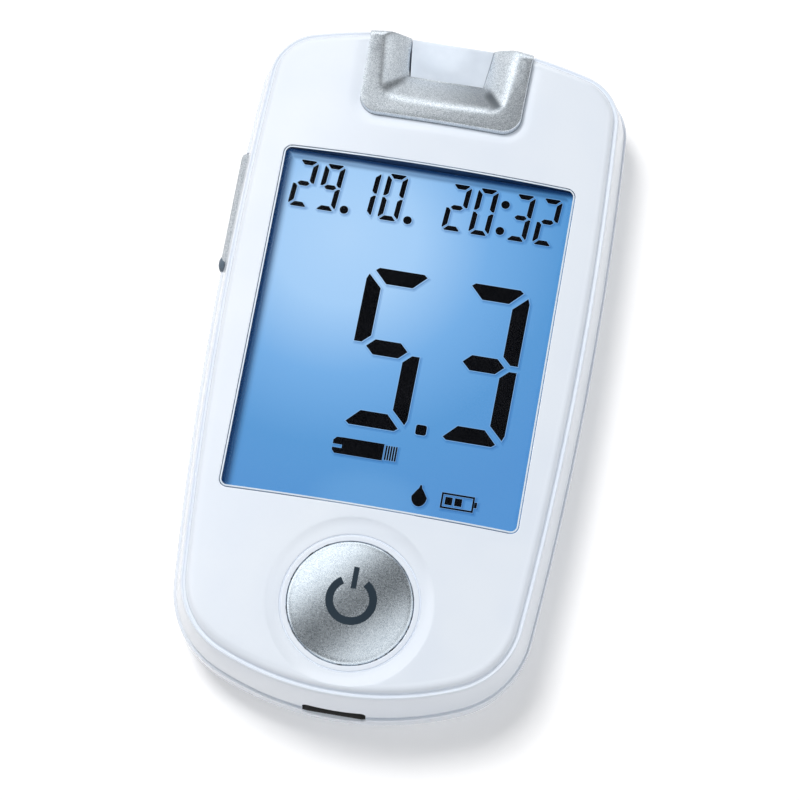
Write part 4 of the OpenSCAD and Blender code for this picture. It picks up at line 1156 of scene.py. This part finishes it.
stroke = [(SIGN[0] + side * 0.36, SIGN[1] + 1.52 + 3.04 * i / 8)
          for side, order in ((-1, 1), (1, -1)) for i in list(range(9))[::order]]
slate = moulded("slate_ink", (44, 56, 66), (34, 46, 56), 0.6, 0.05, specular_ior_level=0.2)
for name, line, keep in (
        ("power_sign_ring", arc_band(RING_INNER, RING_OUTER, RING_GAP, 360 - RING_GAP, 64), in_arc),
        ("power_sign_bar", stroke, lambda x, y: True)):
    sign_spots, sign_faces, _ = plan_mesh([line], [], keep)
    ink_film = shell_of(sign_spots, sign_faces, on_dome(0.02), on_dome(-0.02)).object(name)
    finish_piece(ink_film, "button", "silver_paint", slate)

# ---- Side key ----
# A slim rocking bar in the left wall, silver like the collar, with a nub at its lower end to
# feel for, made darker as painted shade. It turns about a steel pin, and each end presses its
# own small switch.

KEY_FACE = -SIDE_X - 0.12


def upright(x, grow, half=(8.6, 1.5), middle=(KEY_Y, PARTING)):
    flat = plate((0, 0), (half[0] + grow, half[1] + grow), min(half) - 0.1 + grow, 0)
    return [(x, middle[0] + a, middle[1] + b) for a, b, _ in flat]


key = Solid()
key.rings([upright(KEY_FACE + d, g) for d, g in
           ((0, -0.62), (0.05, -0.4), (0.16, -0.2), (0.34, -0.07), (0.6, 0), (3.8, 0))])
key_bar = key.object("rocking_key")
hub = Solid()
hub.rings([circle((KEY_PIN_X, KEY_Y), r, z, 32) for r, z in
           ((0.55, 6.5), (1.1, 6.5), (1.1, 9.5), (0.55, 9.5))], closed=True)
carve(key_bar, prism(circle((KEY_PIN_X, KEY_Y), 1.0, 0, 32), (0, 0, 20)))
for y in (KEY_Y - 4.6, KEY_Y + 4.6):
    hub.box((KEY_PIN_X - 0.5, y - 3.5, 5.3), (KEY_PIN_X + 0.3, y + 3.5, 9.4))
add(key_bar, hub)
finish_piece(key_bar, "key", "silver_paint",
             paint("silver_key_paint", (228, 232, 236), (136, 146, 154), 0.75,
                   specular_ior_level=0.1), stands_for=["side_key"], sharp=40)
# The nub's dark colour is painted shade on the bar's lower end.
nub = Solid()
nub.rings([upright(KEY_FACE + d, g, (1.0, 1.25), (KEY_Y - 8.0, PARTING)) for d, g in
           ((-0.3, -0.85), (-0.27, -0.62), (-0.2, -0.38), (-0.08, -0.15), (0.06, -0.03), (0.2, 0),
            (0.6, 0))])
finish_piece(nub.object("key_nub"), "key", "silver_paint",
             moulded("key_nub_painted_shade", (96, 110, 124), (84, 98, 112), 0.55, 0.08))

# ---- Battery door ----
# A flat moulded cover in the back that swings on two tabs at its upper edge. Its grip ridges
# sit by the thumb recess, and short ribs inside keep the two cells down.

DOOR_HALF = (BAY_HALF[0] - 0.2, BAY_HALF[1] - 0.2)
door = Solid()
door.rings([plate(BAY_MIDDLE, (DOOR_HALF[0] - g, DOOR_HALF[1] - g), 2.3 - g, z) for g, z in
            ((0.2, 0.1), (0.06, 0.14), (0, 0.24), (0, 1.5))])
door_cover = door.object("battery_cover")
grips = []
for i in range(5):
    y = BAY_MIDDLE[1] - DOOR_HALF[1] + 1.6 + 0.9 * i
    reach = 5.2 - 0.55 * i
    grips.append(prism([(x, y + w, 0) for x, w in
                        ((-reach, -0.2), (reach, -0.2), (reach, 0.2), (-reach, 0.2))],
                       (0, 0, 0.32)))
carve(door_cover, *grips)
HINGE_Y = BAY_MIDDLE[1] + BAY_HALF[1]
for side in (-1, 1):
    tab = side * 16.5
    fittings = Solid()
    fittings.box((tab - 1.6, HINGE_Y - 1.4, 1.4), (tab + 1.6, HINGE_Y - 0.2, 2.5))
    fittings.box((tab - 1.6, HINGE_Y - 1.4, 1.75), (tab + 1.6, HINGE_Y + 1.3, 2.5))
    for row in (-1, 0, 1):
        y = BAY_MIDDLE[1] + row * 5
        fittings.box((side * 10.2 - 5, y - 0.5, 1.4), (side * 10.2 + 5, y + 0.5, 1.95))
    add(door_cover, fittings)
finish_piece(door_cover, "door", "shell_white", case_white, stands_for=["battery_door"],
             sharp=40)

# ---- Electronics and small parts ----
# The circuit board with its chips, crystal, sounder, sockets, switches and battery springs,
# and the pin and screws. They are bought parts, seen only when the case is open.


def metal(name, light, dark, roughness):
    """Bare or plated metal with fine drawn streaks."""
    made = Finish(name, metallic=1.0)
    light, dark = sheer(*light), sheer(*dark)
    stretched = made.at.node("ShaderNodeVectorMath", {"operation": "MULTIPLY"},
                             {0: made.at, 1: (0.4, 6.0, 0.4)})
    streak = stretched.noise(1.2, 3)
    return made.link(base_color=streak.fade(0.25, 0.75).mix(light, dark),
                     roughness=roughness + 0.12 * (streak - 0.5), normal=streak.bump(0.05, 0.01))


def board_finish(name):
    """Green solder mask over copper tracks, which show as slightly paler lines."""
    made = Finish(name, roughness=0.35, coat_weight=0.5)
    tracks = made.at.node("ShaderNodeTexBrick", {}, {"Vector": made.at, "Scale": 0.35,
                                                     "Mortar Size": 0.03}, out=1)
    return made.link(base_color=tracks.mix(sheer(24, 92, 58), sheer(38, 118, 74)),
                     normal=tracks.bump(0.2, 0.02))


for nodes, material in (
        ("main_board", board_finish("solder_mask")),
        ("crystal", metal("crystal_can", (212, 214, 216), (190, 193, 196), 0.2)),
        ("controller_chip memory_chip strip_connector power_switch side_switches data_socket",
         moulded("black_plastic", (34, 35, 37), (24, 25, 27), 0.45, 0.06)),
        ("strip_contacts data_contacts buzzer",
         metal("gold_plate", (226, 188, 110), (206, 166, 88), 0.25)),
        ("side_key_pin negative_contacts positive_contacts case_screws",
         metal("spring_steel", (196, 198, 200), (170, 173, 176), 0.3)),
        ("power_switch_stem side_switch_stems",
         moulded("stem_plastic", (88, 92, 98), (74, 78, 84), 0.5, 0.05)),
        ("left_cell right_cell",
         metal("cell_steel", (214, 216, 218), (196, 199, 202), 0.26))):
    for node in nodes.split():
        dress(node, material)

# ---- Studio ----
# A seamless pale table, a soft lamp at the upper left, a weak bluish one at the lower right
# and a camera above the lower end. The gloss mirrors two bright cards in a dim room.


def floor_finish():
    made = Finish("studio_floor", roughness=0.8, specular_ior_level=0.1, emission_strength=0.21,
                  emission_color=(1, 1, 1, 1))
    return made.link(base_color=made.drift(0.004).mix((0.86, 0.85, 0.845), (0.85, 0.84, 0.84)))


floor = Solid()
floor.box((-3000, -3000, -6), (3000, 3000, 0))
table = floor.object("studio_floor")
table.data.transform(Matrix.Scale(0.001, 4))
table.data.materials.append(floor_finish())


def lamp(name, place, aim, size, watts, tint=(1, 1, 1)):
    light = bpy.data.lights.new(name, "AREA")
    light.shape, light.size, light.size_y = "RECTANGLE", size[0] / 1000, size[1] / 1000
    light.energy, light.color = watts, tint
    made = bpy.data.objects.new(name, light)
    scene.collection.objects.link(made)
    made.location = [c / 1000 for c in place]
    made.rotation_euler = (Vector(aim) - Vector(place)).to_track_quat("-Z", "Y").to_euler()
    return made


# The lamps don't show in the gloss, which mirrors the cards instead
key_lamp = lamp("key_lamp", (-265, 235, 845), (0, 0, 0), (280, 280), 5.65)
fill_lamp = lamp("fill_lamp", (520, -300, 700), (0, 0, 0), (700, 500), 1.3, (0.84, 0.92, 1.0))
for soft_lamp in (key_lamp, fill_lamp):
    soft_lamp.visible_glossy = False

world = bpy.data.worlds.new("studio")
scene.world = world
world.use_nodes = True
sky = Wire(world.node_tree)
rays = sky.node("ShaderNodeLightPath").socket.node
seen, glossed = (Wire(world.node_tree, rays.outputs[key])
                 for key in ("Is Camera Ray", "Is Glossy Ray"))
way = sky.node("ShaderNodeTexCoord", out="Generated")
parts = way.node("ShaderNodeSeparateXYZ", {}, {0: way}).socket.node
way_x, way_y, way_z = (Wire(world.node_tree, parts.outputs[i]) for i in range(3))
across = 0.707 * way_y - 0.707 * way_x
cards = across.fade(0.3, 0.54) * 1.75 + (1 - across.fade(-0.2, 0.03)) * 1.2
gloss = 0.11 + cards * way_z.fade(-0.05, 0.28)
back = world.node_tree.nodes["Background"]
strength = seen + (1 - seen) * (glossed * gloss + (1 - glossed) * 0.31)
world.node_tree.links.new(strength.socket, back.inputs["Strength"])
back.inputs["Color"].default_value = (1, 1, 1, 1)

SENSOR, FOCAL_PIXELS, PICTURE_PIXELS = 36, 3488.6079, 800
eye = bpy.data.cameras.new("camera")
eye.lens, eye.sensor_width, eye.clip_start = FOCAL_PIXELS / PICTURE_PIXELS * SENSOR, SENSOR, 0.01
camera = bpy.data.objects.new("camera", eye)
scene.collection.objects.link(camera)
turn = Vector((2.83687160, 0.244192481, -0.0549701473))
spin = Matrix.Rotation(turn.length, 3, turn.normalized())
flip = Matrix(((1, 0, 0), (0, -1, 0), (0, 0, -1)))
camera.matrix_world = (Matrix.Translation((0.03105, -0.13999, 0.46568))
                       @ (flip @ spin).transposed().to_4x4())
scene.camera = camera
scene.view_settings.view_transform = "Standard"
